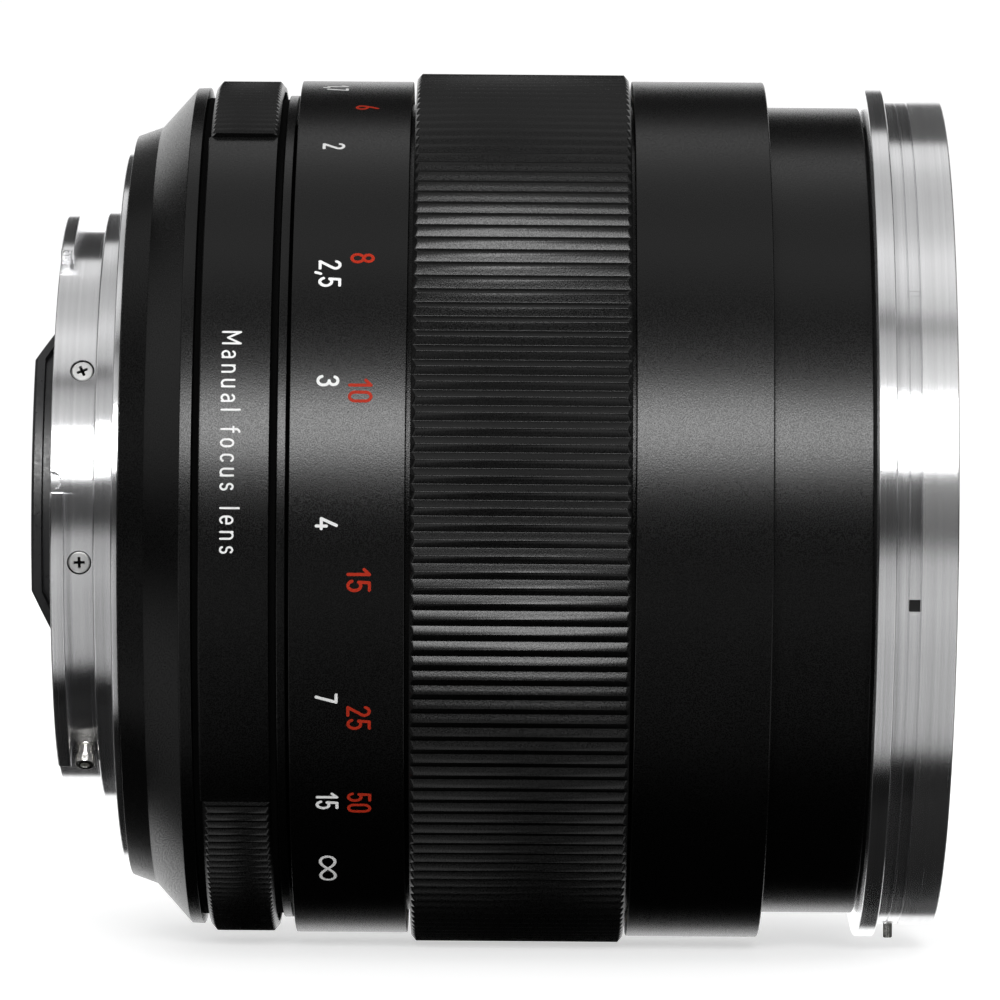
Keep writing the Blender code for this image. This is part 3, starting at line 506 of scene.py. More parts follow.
def add_screw(kind, number, radius, height, shade_heights, matrix):
    """A flat screw head with a broken edge and a cross recess, its top at local Z = 0, and a near-black
    rod between two local heights: painted shade, seen round the head and deep in the recess."""
    profile = [(-height, radius), (-0.16, radius), (-0.06, radius - 0.03), (0, radius - 0.12)]
    form = turned_local(profile + [(0.015, radius * 0.5)], 48)
    name = f"{kind}_head_{number}"
    replaced = [f"{kind}_{number}"]
    item = add_piece(name, to_mesh(form, name, matrix), "fixed_barrel", HEAD_STEEL, replaced)
    shaped(item, cross_tools(radius * 1.22, radius * 0.27, 0.42, matrix))
    # A near-black rod round and under the head: painted shade round the head and in the cross recess.
    painted_shade = rod(radius + 0.07, *shade_heights, matrix)
    add_piece(f"{kind}_lacquer_{number}", painted_shade, "fixed_barrel", SHADE_BLACK)


def make_mount():
    profile = rounded([
        (NECK_REAR, NECK_BORE, 0.1), (NECK_REAR, NECK_RADIUS, 0.1),
        (SPIGOT_REAR, NECK_RADIUS, 0.1), (SPIGOT_REAR, SPIGOT_RADIUS, 0.18), (-0.1, SPIGOT_RADIUS, 0.04),
        (-0.1, SPIGOT_RADIUS - 0.18, 0.04), (0, SPIGOT_RADIUS - 0.18), (0, FLANGE_RADIUS, 0.14),
        (0.6, FLANGE_RADIUS, 0.1), (0.6, 31.0, 0.05), (MOUNT_FRONT, 31.0, 0.05),
        (MOUNT_FRONT, NECK_BORE, 0.1),
    ])
    item = add_turned("mount_ring", profile, "fixed_barrel", CHROME, ["bayonet_mount"], FINE)
    tools = [rod(1.06, -1.1, 2, radial_place(HOLE_X, 25.0, a)) for a, _ in BLOCK_SCREWS]
    tools.append(rod(0.98, -1.1, 2, radial_place(HOLE_X, 25.0, PIN_ANGLE)))
    tools.append(rod(RELIEF_RADIUS, -1.4, 2, radial_place(RELIEF_X, 25.0, RELIEF_ANGLE)))
    tools += [rod(1.3, -1, 1, axial_place(0.35, SCREW_RING, a)) for a in SCREW_ANGLES]
    shaped(item, tools)
    true_normals(item)

    for number, start in enumerate(LUG_STARTS, 1):
        section = rounded([
            (LUG_REAR, 24.3), (LUG_REAR, LUG_RADIUS, 0.22), (LUG_FRONT, LUG_RADIUS, 0.12), (LUG_FRONT, 24.3),
        ])
        lug = arc_block(f"bayonet_lug_{number}", section, start, start + LUG_SPAN, 0.12)
        add_piece(f"bayonet_lug_{number}", lug, "fixed_barrel", CHROME)

    for number, (angle, spin) in enumerate(BLOCK_SCREWS, 1):
        place = radial_place(HOLE_X, 24.87, angle, spin)
        add_screw("block_screw", number, 0.96, 0.8, (-0.95, -0.2), place)
    for number, angle in enumerate(SCREW_ANGLES, 1):
        place = axial_place(0.05, SCREW_RING, angle, 20 + 33 * number)
        add_screw("mount_screw", number, 1.2, 0.6, (-0.7, -0.22), place)

    pin = turned_local([
        (-2.4, 0.9), (-1.9, 0.9), (-1.8, 0.86), (-1.75, 0.72), (-0.95, 0.72), (-0.9, 0.84), (-0.85, 0.88),
        (-0.14, 0.88), (-0.04, 0.83), (0, 0.74), (0, 0.42), (-0.06, 0.36), (-0.4, 0.34),
    ], 48)
    mesh = to_mesh(pin, "mount_stop_pin", radial_place(HOLE_X, PIN_TIP, PIN_ANGLE))
    add_piece("mount_stop_pin", mesh, "fixed_barrel", STEEL, ["stop_pin"])


# ---- contacts and baffle

BLOCK_FRONT_X = -1.9
BLOCK_REAR_X, _, _ = span("contact_block")
BLOCK_RADII = (18.4, 22.3)
BLOCK_ENDS = (-44.0, 31.0)
BLOCK_FLAT = (-35.0, 20.0)
CONTACT_RING = 20.4
CONTACT_ANGLES = [ROLL + 6.9 * (k - 3) for k in range(7)]


def make_contacts():
    corners = [np.array(BLOCK_FLAT) + d for d in (-0.3, -0.15, 0, 0.15, 0.3)]
    degrees = np.unique(np.concatenate([np.linspace(*BLOCK_ENDS, 76), *corners]))
    ramp = np.interp(degrees, (BLOCK_ENDS[0], *BLOCK_FLAT, BLOCK_ENDS[1]), (1, 0, 0, 1))
    rear = BLOCK_REAR_X + (NECK_REAR - BLOCK_REAR_X) * ramp
    inner, outer = BLOCK_RADII
    section = [
        (0.4, inner), (0.14, inner + 0.08), (0.03, inner + 0.22), (0, inner + 0.4), (0, outer - 0.35),
        (0.04, outer - 0.2), (0.12, outer - 0.08), (0.25, outer), (0.9, outer), (0.96, outer - 0.1),
        (1.0, outer - 0.6),
    ]
    front = np.full(degrees.size, BLOCK_FRONT_X)
    xs = np.array([front, *[rear + x for x, _ in section], front])
    radii = [inner, *[r for _, r in section], outer - 0.6]
    rs = np.array([np.full(degrees.size, r) for r in radii])
    mesh = wrap("contact_housing", xs, rs, degrees, arc=True)
    item = add_piece("contact_housing", mesh, "fixed_barrel", PLASTIC, ["contact_block"])
    places = [axial_place(BLOCK_REAR_X, CONTACT_RING, angle) for angle in CONTACT_ANGLES]
    shaped(item, [rod(0.98, -0.3, 2, place, 32) for place in places])
    profile = [(-0.6, 0.82), (-0.14, 0.82), (-0.07, 0.76), (-0.01, 0.6), (0.02, 0.38), (0.03, 0.1)]
    for number, place in enumerate(places, 1):
        mesh = to_mesh(turned_local(profile), "dome", place)
        name = f"gold_contact_{number}"
        add_piece(name, mesh, "fixed_barrel", GOLD, [f"contact_pin_{number}"])

    steps = [(-4.4, 22.55), (-4.4, 19.2)]
    for k in range(9):
        radius = 19.2 + 0.36 * k
        steps += [(-5.35 - 0.02 * k, radius + 0.02), (-5.0 - 0.02 * k, radius + 0.3)]
    steps += [(-5.6, 22.4), (-5.6, 22.55)]
    mesh = arc_block("rear_light_baffle", steps, BLOCK_ENDS[1] + 3, BLOCK_ENDS[0] + 357, 0.1, 2.0)
    add_piece("rear_light_baffle", mesh, "fixed_barrel", MATTE, ["rear_baffle"], 20)


# ---- fixed barrel

_, BODY_FRONT, LAND_RADIUS = span("rear_barrel")
COLLAR_REAR, COLLAR_FRONT, COLLAR_RADIUS = span("index_collar")
GRIP_REAR, GRIP_FRONT, GRIP_RADIUS = span("rear_grip_ring")
GRIP_SMOOTH = 37.8
SHELL_REAR = 0.7
CONE_CORNERS = ((2.9, 34.05), (6.05, LAND_RADIUS - 0.05))
LAND_FRONT = 7.1
BED_RADIUS = COLLAR_RADIUS - 0.5
COLLAR_STEP = 14.3
SMOOTH_ENDS = (7.68, 13.78)
GAPS = ((7.18, 8.28, 36.7), (13.2, 14.26, 36.6))
BEAD_X = 1.95
GRIP_BORE = 37.3
TOP = ROLL + 180


def make_fixed_barrel():
    profile = rounded([
        (SHELL_REAR, 31.4), (SHELL_REAR, 33.25, 0.06), (*CONE_CORNERS[0], 0.06), (*CONE_CORNERS[1], 0.12),
        (LAND_FRONT, LAND_RADIUS, 0.06), (LAND_FRONT + 0.06, BED_RADIUS, 0.05), (BODY_FRONT, BED_RADIUS),
        (BODY_FRONT, 35.4), (5.4, 35.4), (4.6, 33.4), (4.6, 24.0, 0.1), (2.7, 24.0, 0.1), (2.7, 31.4),
    ])
    shell = add_turned("rear_shell", profile, "fixed_barrel", BLACK, ["rear_barrel"], FINE)
    shaped(shell, [rod(1.12, -1.2, 3, radial_place(BEAD_X, 33.6, TOP))])
    dome = turned_local([(-1, 1.05), (-0.2, 1.05), (0.12, 0.96), (0.36, 0.72), (0.5, 0.4), (0.55, 0.08)], 40)
    mesh = to_mesh(dome, "dome", radial_place(BEAD_X, 33.55, TOP))
    add_piece("mount_index_dome", mesh, "fixed_barrel", RED, ["mount_index_bead"])

    low = COLLAR_RADIUS - 0.6
    profile = rounded([
        (COLLAR_REAR, 35.2), (COLLAR_REAR, low, 0.05), (COLLAR_STEP - 0.05, low, 0.05),
        (COLLAR_STEP, COLLAR_RADIUS, 0.1), (COLLAR_FRONT, COLLAR_RADIUS, 0.06), (COLLAR_FRONT, 35.2),
    ])
    add_turned("index_ring", profile, "fixed_barrel", BLACK, ["index_collar"])
    # Thin near-black rings under the gaps between the barrel's rings: painted shade in the gaps.
    for number, (rear, front, top) in enumerate(GAPS, 1):
        profile = [(rear, top - 0.15), (rear, top), (front, top), (front, top - 0.15)]
        add_turned(f"painted_gap_shade_{number}", profile, "fixed_barrel", SHADE_BLACK)


def tri(u):
    """A triangular wave of period 1: 0 at whole numbers, 1 halfway."""
    u = np.mod(u, 1.0)
    return 2 * np.minimum(u, 1 - u)


def soft_tri(u, blend=0.05):
    """The triangular wave with its crests and valleys rounded."""
    t = tri(u)
    low = blend / 2 + t**2 / (2 * blend)
    high = 1 - blend / 2 - (1 - t) ** 2 / (2 * blend)
    return np.where(t < blend, low, np.where(t > 1 - blend, high, t))


RIB_STOPS = np.array([0, 0.012, 0.026, 0.25, 0.474, 0.488, 0.5, 0.512, 0.526, 0.75, 0.974, 0.988])


def chamfered_ring(name, degrees, crest, ends, bore, chamfer):
    """A ridged ring: the crest's radius at each angle, cut by a chamfer at each end. Each end
    is a station, or one for each angle."""
    rear, front = ends
    ease = np.array([0, 0.1, 0.22, 0.36, 0.52, 0.7, 0.86, 1.0])
    floor = crest.min() - 0.12
    cut = floor + (crest.max() - floor + 0.001) * ease
    depth = chamfer * ease
    ones = np.ones(degrees.size)
    xs, rs = [rear * ones], [bore * ones]
    for x, r in zip(depth, cut):
        xs.append(rear + x * ones)
        rs.append(np.minimum(crest, r))
    for x, r in zip(-depth[::-1], cut[::-1]):
        xs.append(front + x * ones)
        rs.append(np.minimum(crest, r))
    xs.append(front * ones)
    rs.append(bore * ones)
    return wrap(name, np.array(xs), np.array(rs), degrees)


def make_rear_grip():
    """Two smooth zones and two finely ridged pads that stand a little proud of them."""
    pitch, flutes, depth, step, chamfer = 1.44, 55, 0.3, 0.03, 0.46
    degrees, crest, proud = [], [], []
    for centre in (ROLL + 90, ROLL + 270):
        first = centre - pitch * flutes / 2
        u = (np.arange(flutes)[:, None] + RIB_STOPS[None, :]).ravel()
        degrees.append(first + pitch * u)
        crest.append(GRIP_RADIUS - depth * (soft_tri(u) - 0.02))
        proud.append(np.ones(u.size))
        last = first + pitch * flutes
        smooth = 180 - pitch * flutes
        t = np.concatenate([[0], np.linspace(step, smooth - step, 92)])
        edge = np.clip(np.minimum(t, smooth - t) / step, 0, 1)
        degrees.append(last + t)
        crest.append(GRIP_RADIUS - (GRIP_RADIUS - GRIP_SMOOTH) * edge)
        proud.append(1 - edge)
    degrees, crest, proud = (np.concatenate(x) for x in (degrees, crest, proud))
    rear, front = (a + (b - a) * proud for a, b in zip(SMOOTH_ENDS, (GRIP_REAR, GRIP_FRONT)))
    mesh = chamfered_ring("rear_grip", degrees, crest, (rear, front), GRIP_BORE, chamfer)
    add_piece("rear_grip", mesh, "fixed_barrel", BLACK, ["rear_grip_ring"], 35)


# ---- focusing ring

_, SCALE_FRONT, SCALE_RADIUS = span("distance_scale_ring")
SCALE_REAR = 15.42
FOCUS_REAR, FOCUS_FRONT, FOCUS_RADIUS = span("focus_grip_ring")
SLEEVE_REAR, SLEEVE_FRONT, SLEEVE_RADIUS = span("front_sleeve")
FOCUS_BORE = 36.9
RIBS = 180
RIB_DEPTH = 0.38
RIB_BORE, RIB_CHAMFER = 37.6, 0.42


def make_focus_ring():
    profile = rounded([
        (SCALE_REAR, FOCUS_BORE), (SCALE_REAR, SCALE_RADIUS, 0.06), (SCALE_FRONT, SCALE_RADIUS, 0.1),
        (SCALE_FRONT, FOCUS_BORE),
    ], 5)
    replaced = ["distance_scale_ring"]
    add_turned("scale_ring", profile, "focus_ring", BLACK, replaced, FINE)

    u = (np.arange(RIBS)[:, None] + RIB_STOPS[None, :]).ravel()
    crest = FOCUS_RADIUS - RIB_DEPTH * (soft_tri(u) - 0.02)
    ends = FOCUS_REAR, FOCUS_FRONT
    mesh = chamfered_ring("focus_grip", u * 360 / RIBS, crest, ends, RIB_BORE, RIB_CHAMFER)
    add_piece("focus_grip", mesh, "focus_ring", RIBBED, ["focus_grip_ring"], 35)

    profile = rounded([
        (SLEEVE_REAR, FOCUS_BORE), (SLEEVE_REAR, SLEEVE_RADIUS, 0.1), (SLEEVE_FRONT, SLEEVE_RADIUS, 0.12),
        (SLEEVE_FRONT, FOCUS_BORE, 0.1),
    ])
    add_turned("front_shell", profile, "focus_ring", BLACK, ["front_sleeve"], FINE)


# ---- optical barrel

BARREL_REAR, BARREL_FRONT, BARREL_RADIUS = span("inner_barrel")
BARREL_BORE = 34.8
HOOD_REAR, FRONT_RIM, HOOD_FLANGE = span("hood_bayonet_ring")
HOOD_RADIUS = 37.17
FILTER_BORE = 35.7
GROOVES = (68.1, 69.12)
CATCH = (-30.4, 13.6)
POCKET = (CATCH[1] - 1.9, CATCH[1] - 0.35)
HOOD_PIN_X = 68.55


def make_barrel():
    profile = rounded([
        (BARREL_REAR, BARREL_BORE), (BARREL_REAR, BARREL_RADIUS, 0.1), (BARREL_FRONT, BARREL_RADIUS, 0.1),
        (BARREL_FRONT, BARREL_BORE),
    ])
    add_turned("barrel_tube", profile, "optical_barrel", BLACK, ["inner_barrel"], FINE)
    make_hood_ring()
    pin = turned_local([(-2.4, 0.42), (-0.1, 0.42), (-0.03, 0.38), (0, 0.3)], 32)
    _, _, tip = span("hood_pin")
    place = radial_place(HOOD_PIN_X, tip, 90)
    add_piece("hood_stop_pin", to_mesh(pin, "pin", place), "optical_barrel", STEEL, ["hood_pin"])


def make_hood_ring():
    """The chrome front ring: a flange, three bands parted by fine grooves, a catch and the filter thread."""
    edges = [CATCH[0] - 0.7, CATCH[0], CATCH[0] + 0.7, *POCKET, CATCH[1]]
    fine = [edge + d for edge in edges for d in (-0.03, 0.03)]
    degrees = np.unique(np.concatenate([np.arange(256) * 360 / 256 - 180, fine]))
    groove, wide = 0.11, 0.07
    outer = rounded([
        (HOOD_REAR, 35.2), (HOOD_REAR, HOOD_FLANGE, 0.14), (67.0, HOOD_FLANGE, 0.14),
        (67.0, HOOD_RADIUS, 0.04), (GROOVES[0] - wide, HOOD_RADIUS),
    ], closed=False)
    band = (GROOVES[0] + wide, GROOVES[1] - wide)
    first_groove, second_groove = ([(x + d, HOOD_RADIUS - groove) for d in (-0.02, 0.02)] for x in GROOVES)
    stations = (band[0], band[0] + 0.06, band[1] - 0.06, band[1])
    middle = first_groove + [(x, HOOD_RADIUS) for x in stations] + second_groove
    front = rounded([
        (GROOVES[1] + wide, HOOD_RADIUS), (FRONT_RIM, HOOD_RADIUS, 0.16), (FRONT_RIM, FILTER_BORE, 0.12),
        (72.0, FILTER_BORE),
    ], closed=False)
    pitch, depth = 0.75, 0.34
    x_thread = np.arange(71.95, 67.55, -pitch / 10)
    x_rows = [np.full(degrees.size, x) for x, _ in outer + middle + front]
    r_rows = [np.full(degrees.size, r) for _, r in outer + middle + front]
    first = len(outer) + 2
    for row in range(first, first + 4):
        inside = (degrees > CATCH[0]) & (degrees < CATCH[1])
        r_rows[row] = r_rows[row] - 0.05 * inside
        pocket = (degrees > POCKET[0]) & (degrees < POCKET[1])
        r_rows[row] = r_rows[row] - 0.7 * pocket
        catch = np.abs(degrees - CATCH[0]) < 0.71
        r_rows[row] = r_rows[row] + 0.03 * catch
    for x in x_thread:
        fade = np.clip(min(71.95 - x, x - 67.5) / 0.3, 0, 1)
        wave = soft_tri(x / pitch + degrees / 360, 0.2)
        x_rows.append(np.full(degrees.size, x))
        r_rows.append(FILTER_BORE + depth * wave * fade)
    for x, r in ((67.45, FILTER_BORE), (67.4, FILTER_BORE - 0.05), (67.4, 35.2)):
        x_rows.append(np.full(degrees.size, x))
        r_rows.append(np.full(degrees.size, r))
    name = "front_chrome_ring"
    mesh = wrap(name, np.array(x_rows), np.array(r_rows), degrees)
    add_piece(name, mesh, "optical_barrel", RING_CHROME, ["hood_bayonet_ring"], 24)
    floor = [(band[0] - 0.03, HOOD_RADIUS - 0.9), (band[0] - 0.03, HOOD_RADIUS - 0.3),
             (band[1] + 0.03, HOOD_RADIUS - 0.3), (band[1] + 0.03, HOOD_RADIUS - 0.9)]
    mesh = arc_block("catch_pocket_floor", floor, POCKET[0] - 0.08, POCKET[1] + 0.05, 0.02, 0.4)
    add_piece("catch_pocket_floor", mesh, "optical_barrel", MATTE)


# ---- optics

# Front vertex, front curvature radius, rear vertex, rear curvature radius, rim radius, rear clear radius.
ELEMENTS = (
    (66.0, 75.0, 57.0, 300.0, 30.5, 30.5),
    (56.0, 38.0, 47.0, 70.0, 26.0, 26.0),
    (46.2, 65.0, 43.2, 26.0, 22.5, 18.5),
    (21.9, -30.0, 20.0, math.inf, 19.0, 19.0),
    (19.9, math.inf, 14.0, -38.0, 19.0, 19.0),
    (13.6, 90.0, 8.1, -70.0, 18.5, 18.5),
)


def sag(curvature, radius):
    if math.isinf(curvature):
        return 0.0
    return math.copysign(abs(curvature) - math.sqrt(curvature**2 - radius**2), curvature)


def make_elements(rings=20):
    for number, (front, curve, rear, rear_curve, rim, clear) in enumerate(ELEMENTS, 1):
        share = np.linspace(0, 1, rings + 1)
        profile = [(front - sag(curve, rim * t), rim * t) for t in share[:-1]]
        profile += [(front - sag(curve, rim - 0.15), rim - 0.15), (front - sag(curve, rim) - 0.1, rim)]
        edge = rear - sag(rear_curve, clear)
        profile.append((edge + 0.1, rim))
        profile.append((edge, rim - 0.12))
        inside = [clear * t for t in share[-2::-1] if clear * t < rim - 0.2]
        profile += [(rear - sag(rear_curve, r), r) for r in inside]
        add_turned(f"glass_element_{number}", profile, "optical_barrel", GLASS[number - 1],
                   [f"lens_element_{number}"], 128)


def baffled(start, end, radius_from, radius_to, pitch=0.55, depth=0.22):
    """Points of a light trap: small saw-tooth ridges along a bore or a cone."""
    count = max(2, int(math.hypot(end - start, radius_to - radius_from) / pitch))
    points = []
    for k in range(count):
        t0, t1 = k / count, (k + 0.85) / count
        points.append((start + (end - start) * t0, radius_from + (radius_to - radius_from) * t0))
        points.append((start + (end - start) * t1, radius_from + (radius_to - radius_from) * t1 + depth))
    return points


def make_cells():
    def ring(name, profile, replaced):
        add_turned(name, profile, "optical_barrel", MATTE, [replaced], 160, 20)

    face = baffled(66.95, 62.9, 33.75, 29.75, 0.42, 0.14)
    ring("front_name_ring", [
        (62.6, 29.6), (60.1, 29.6), (60.1, 30.5), (62.8, 30.5), (62.8, 34.5), (67.1, 34.5), (67.1, 33.9),
        *face,
    ], "front_retaining_ring")
    ring("front_group_cell", [
        (62.5, 34.5), (62.5, 30.8), (55.1, 30.8), (55.1, 26.3), (41.6, 26.3), (41.6, 22.8),
        *baffled(41.0, 35.6, 22.6, 22.4), (35.1, 22.4), (35.1, 21.3), (34.5, 21.3), (34.5, 24.3),
        (40.3, 24.3), (40.3, 27.8), (53.8, 27.8), (53.8, 32.8), (60.5, 32.8), (60.5, 34.5),
    ], "front_cell")
    ring("rear_group_cell", rounded([
        (27.6, 30.0), (27.6, 19.3), (18.8, 19.3), (18.8, 18.8), (7.6, 18.8, 0.1), (7.6, 20.6, 0.25),
        (26.6, 20.6), (26.6, 30.0),
    ]), "rear_cell")
    ring("rear_group_spacer", [(12.3, 18.5), (17.8, 18.5), *baffled(17.8, 12.3, 17.3, 17.3)], "rear_spacer")
    ring("rear_lock_ring", rounded([
        (7.8, 18.5), (9.6, 18.5), (9.6, 16.6), (9.2, 16.6, 0.1), (7.8, 17.5, 0.1),
    ]), "rear_retaining_ring")


def dress_inner_nodes():
    """Materials of the CAD nodes that stay as they are, deep inside."""
    # The fixed sleeve, seen through the barrel's gaps, takes the near-black painted-shade finish.
    finishes = {
        "circuit_board": BOARD, "fixed_sleeve": SHADE_BLACK, "focus_helicoid": BRASS, "iris_housing": MATTE,
        "iris_cover_plate": MATTE, "iris_motor": STEEL, "iris_drive_ring": STEEL, "iris_motor_arm": STEEL,
    }
    finishes.update({f"guide_key_{k}": STEEL for k in (1, 2, 3)})
    finishes.update({f"iris_blade_{k}": MATTE for k in range(1, 10)})
    for name, material in finishes.items():
        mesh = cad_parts[name].data
        mesh.materials.clear()
        mesh.materials.append(material)


# ---- engraved figures and letters


def arc(cx, cy, rx, ry, start, end):
    count = max(5, int(abs(end - start) / 12))
    turns = [math.radians(start + (end - start) * k / count) for k in range(count + 1)]
    return [(cx + rx * math.cos(a), cy + ry * math.sin(a)) for a in turns]


def loop_of_two(cx, cy, rx, ry):
    turns = [math.tau * k / 64 for k in range(65)]
    scale = [1 / (1 + math.sin(a) ** 2) for a in turns]
    return [(cx + rx * math.cos(a) * s, cy + ry * math.sin(2 * a) * s * 1.4) for a, s in zip(turns, scale)]


# Widths and centre lines, in units of the capital height.
GLYPHS = {
    "0": (0.5, [arc(0.25, 0.71, 0.185, 0.225, 0, 180) + arc(0.25, 0.29, 0.185, 0.225, 180, 360) +
                [(0.435, 0.71)]]),
    "1": (0.36, [[(0.04, 0.72), (0.25, 0.935)], [(0.25, 0.935), (0.25, 0.065)]]),
    "2": (0.5, [arc(0.25, 0.735, 0.185, 0.2, 168, -38) + [(0.075, 0.065)], [(0.075, 0.065), (0.44, 0.065)]]),
    "3": (0.5, [arc(0.235, 0.745, 0.18, 0.19, 162, -90), arc(0.235, 0.31, 0.2, 0.245, 90, -164)]),
    "4": (0.52, [[(0.34, 0.935), (0.045, 0.28)], [(0.045, 0.28), (0.485, 0.28)],
                 [(0.37, 0.5), (0.37, 0.065)]]),
    "5": (0.5, [[(0.42, 0.935), (0.11, 0.935)], [(0.11, 0.935), (0.085, 0.5)],
                arc(0.235, 0.325, 0.2, 0.26, 138, -158)]),
    "6": (0.5, [arc(0.25, 0.28, 0.185, 0.215, 0, 360),
                [(0.36, 0.935), (0.22, 0.68), (0.11, 0.45), (0.068, 0.3)]]),
    "7": (0.46, [[(0.05, 0.935), (0.415, 0.935)], [(0.415, 0.935), (0.17, 0.065)]]),
    "8": (0.5, [arc(0.25, 0.745, 0.165, 0.19, 0, 360), arc(0.25, 0.305, 0.19, 0.24, 0, 360)]),
    ",": (0.16, [[(0.1, 0.1), (0.03, -0.12)]]),
    "∞": (2.1, [loop_of_two(1.05, 0.47, 0.98, 0.33)]),
    " ": (0.24, []),
    "M": (0.78, [[(0.08, 0.05), (0.08, 0.95)], [(0.08, 0.95), (0.39, 0.3)], [(0.39, 0.3), (0.7, 0.95)],
                 [(0.7, 0.95), (0.7, 0.05)]]),
    "a": (0.5, [arc(0.235, 0.5, 0.165, 0.17, 150, 0) + [(0.4, 0.05)], [(0.4, 0.4), (0.24, 0.39)] +
                arc(0.235, 0.215, 0.165, 0.17, 95, 285) + [(0.4, 0.14)]]),
    "n": (0.5, [[(0.07, 0.05), (0.07, 0.67)], arc(0.24, 0.475, 0.17, 0.195, 165, 0) + [(0.41, 0.05)]]),
    "u": (0.5, [[(0.07, 0.67)] + arc(0.24, 0.235, 0.17, 0.19, 180, 350), [(0.41, 0.67), (0.41, 0.05)]]),
    "l": (0.17, [[(0.08, 0.97), (0.08, 0.05)]]),
    "f": (0.32, [arc(0.28, 0.79, 0.15, 0.17, 95, 180) + [(0.13, 0.05)], [(0.02, 0.66), (0.27, 0.66)]]),
    "o": (0.5, [arc(0.24, 0.44, 0.175, 0.22, 0, 180) + arc(0.24, 0.27, 0.175, 0.22, 180, 360) +
                [(0.415, 0.44)]]),
    "c": (0.44, [arc(0.24, 0.44, 0.17, 0.22, 35, 180) + arc(0.24, 0.27, 0.17, 0.22, 180, 325)]),
    "s": (0.42, [arc(0.2, 0.51, 0.135, 0.145, 28, 270) + arc(0.2, 0.205, 0.145, 0.16, 90, -155)]),
    "e": (0.5, [[(0.075, 0.355), (0.415, 0.355)], arc(0.24, 0.43, 0.175, 0.23, -18, 180) +
                arc(0.24, 0.275, 0.175, 0.225, 180, 322)]),
}


def lay_ribbon(form, path, width, place, step=0.12):
    """A stroke of even width with round ends, laid through place(u, v, height), with shallow sides."""
    points = [np.array(path[0], float)]
    for target in path[1:]:
        target = np.array(target, float)
        gap = np.linalg.norm(target - points[-1])
        if gap < 1e-6:
            continue
        count = max(1, math.ceil(gap / step))
        start = points[-1]
        points += [start + (target - start) * k / count for k in range(1, count + 1)]
    points = np.array(points)
    closed = np.linalg.norm(points[0] - points[-1]) < 1e-3
    if closed:
        points = points[:-1]
        along = np.roll(points, -1, 0) - np.roll(points, 1, 0)
    else:
        along = np.gradient(points, axis=0)
    along /= np.linalg.norm(along, axis=1)[:, None]
    side = np.stack([-along[:, 1], along[:, 0]], 1) * width / 2
    if not closed:
        turns = np.radians((75, 50, 25))
        half = along * width / 2
        cap = [(points[0] - half[0] * math.sin(a), side[0] * math.cos(a)) for a in turns]
        tail = [(points[-1] + half[-1] * math.sin(a), side[-1] * math.cos(a)) for a in turns[::-1]]
        points = np.array([p for p, _ in cap] + list(points) + [p for p, _ in tail])
        side = np.array([s for _, s in cap] + list(side) + [s for _, s in tail])
    corners = ((1, 0), (1, 1), (-1, 1), (-1, 0))
    rows = [[form.verts.new(place(*(p + s * way), height)) for way, height in corners]
            for p, s in zip(points, side)]
    pairs = list(zip(rows, rows[1:] + rows[:1])) if closed else list(zip(rows, rows[1:]))
    for one, two in pairs:
        for k in range(3):
            form.faces.new((one[k], two[k], two[k + 1], one[k + 1]))


def engrave(name, marks, radius, body, material, stroke, lift=0.014):
    """Marks on a cylinder: each a text, the station of its foot, its height, middle angle and tracking."""
    form = bmesh.new()
    for text, foot, height, middle, tracking in marks:
        length = sum(GLYPHS[c][0] for c in text) + tracking * (len(text) - 1)
        pen = -length / 2
        for c in text:
            wide, strokes = GLYPHS[c]
            for number, path in enumerate(strokes):
                def place(u, v, up, pen=pen, number=number):
                    degrees = middle + math.degrees((pen + u) * height / radius)
                    r = radius + (lift + 0.0012 * number if up else -0.02)
                    return (foot + v * height) * MM, *(q * MM for q in on_ring(r, degrees))
                lay_ribbon(form, path, stroke, place)
            pen += wide + tracking
    bmesh.ops.recalc_face_normals(form, faces=form.faces)
    item = add_piece(name, to_mesh(form, name), body, material)
    return face_outwards(item)


def face_outwards(item):
    form = bmesh.new()
    form.from_mesh(item.data)
    for face in form.faces:
        middle = face.calc_center_median()
        away = Vector((0, middle.y, middle.z)).normalized()
        if face.normal.dot(away) < -0.5:
            face.normal_flip()
    form.to_mesh(item.data)
    form.free()
    return item


FOCAL_LENGTH = 85.0
NODE_GAP = 179.0
INFINITY_ANGLE = 55.35
DEGREES_PER_MM = 27.75
FIGURE_SHIFT = -0.4


def scale_angle(distance):
    """Where a distance in metres stands on the scale, by the barrel's travel to focus there."""
    travel = FOCAL_LENGTH**2 / (1000 * distance - NODE_GAP)
    return INFINITY_ANGLE - DEGREES_PER_MM * travel + FIGURE_SHIFT


METRES = {"∞": INFINITY_ANGLE, "15": 41.4, "7": 25.2, "4": 2.1, "3": -16.2, "2,5": -31.4, "2": -55.0,
          "1,7": -76.4}
MORE_METRES = {"1,5": 1.5, "1,3": 1.3, "1,2": 1.2, "1,1": 1.1, "1": 1.0}
FEET = ("50", "25", "15", "10", "8", "6", "5", "4", "3,5")
METRES_PER_FOOT = 0.3048
TRACKING = 0.12
METRE_FOOT, METRE_HEIGHT = 17.67, 1.95
FEET_FOOT, FEET_HEIGHT = 20.36, 2.09
DEPTH_MARKS = (("4", 5.0), ("8", 10.5), ("11", 15.2), ("16", 22.0), ("22", 30.0))


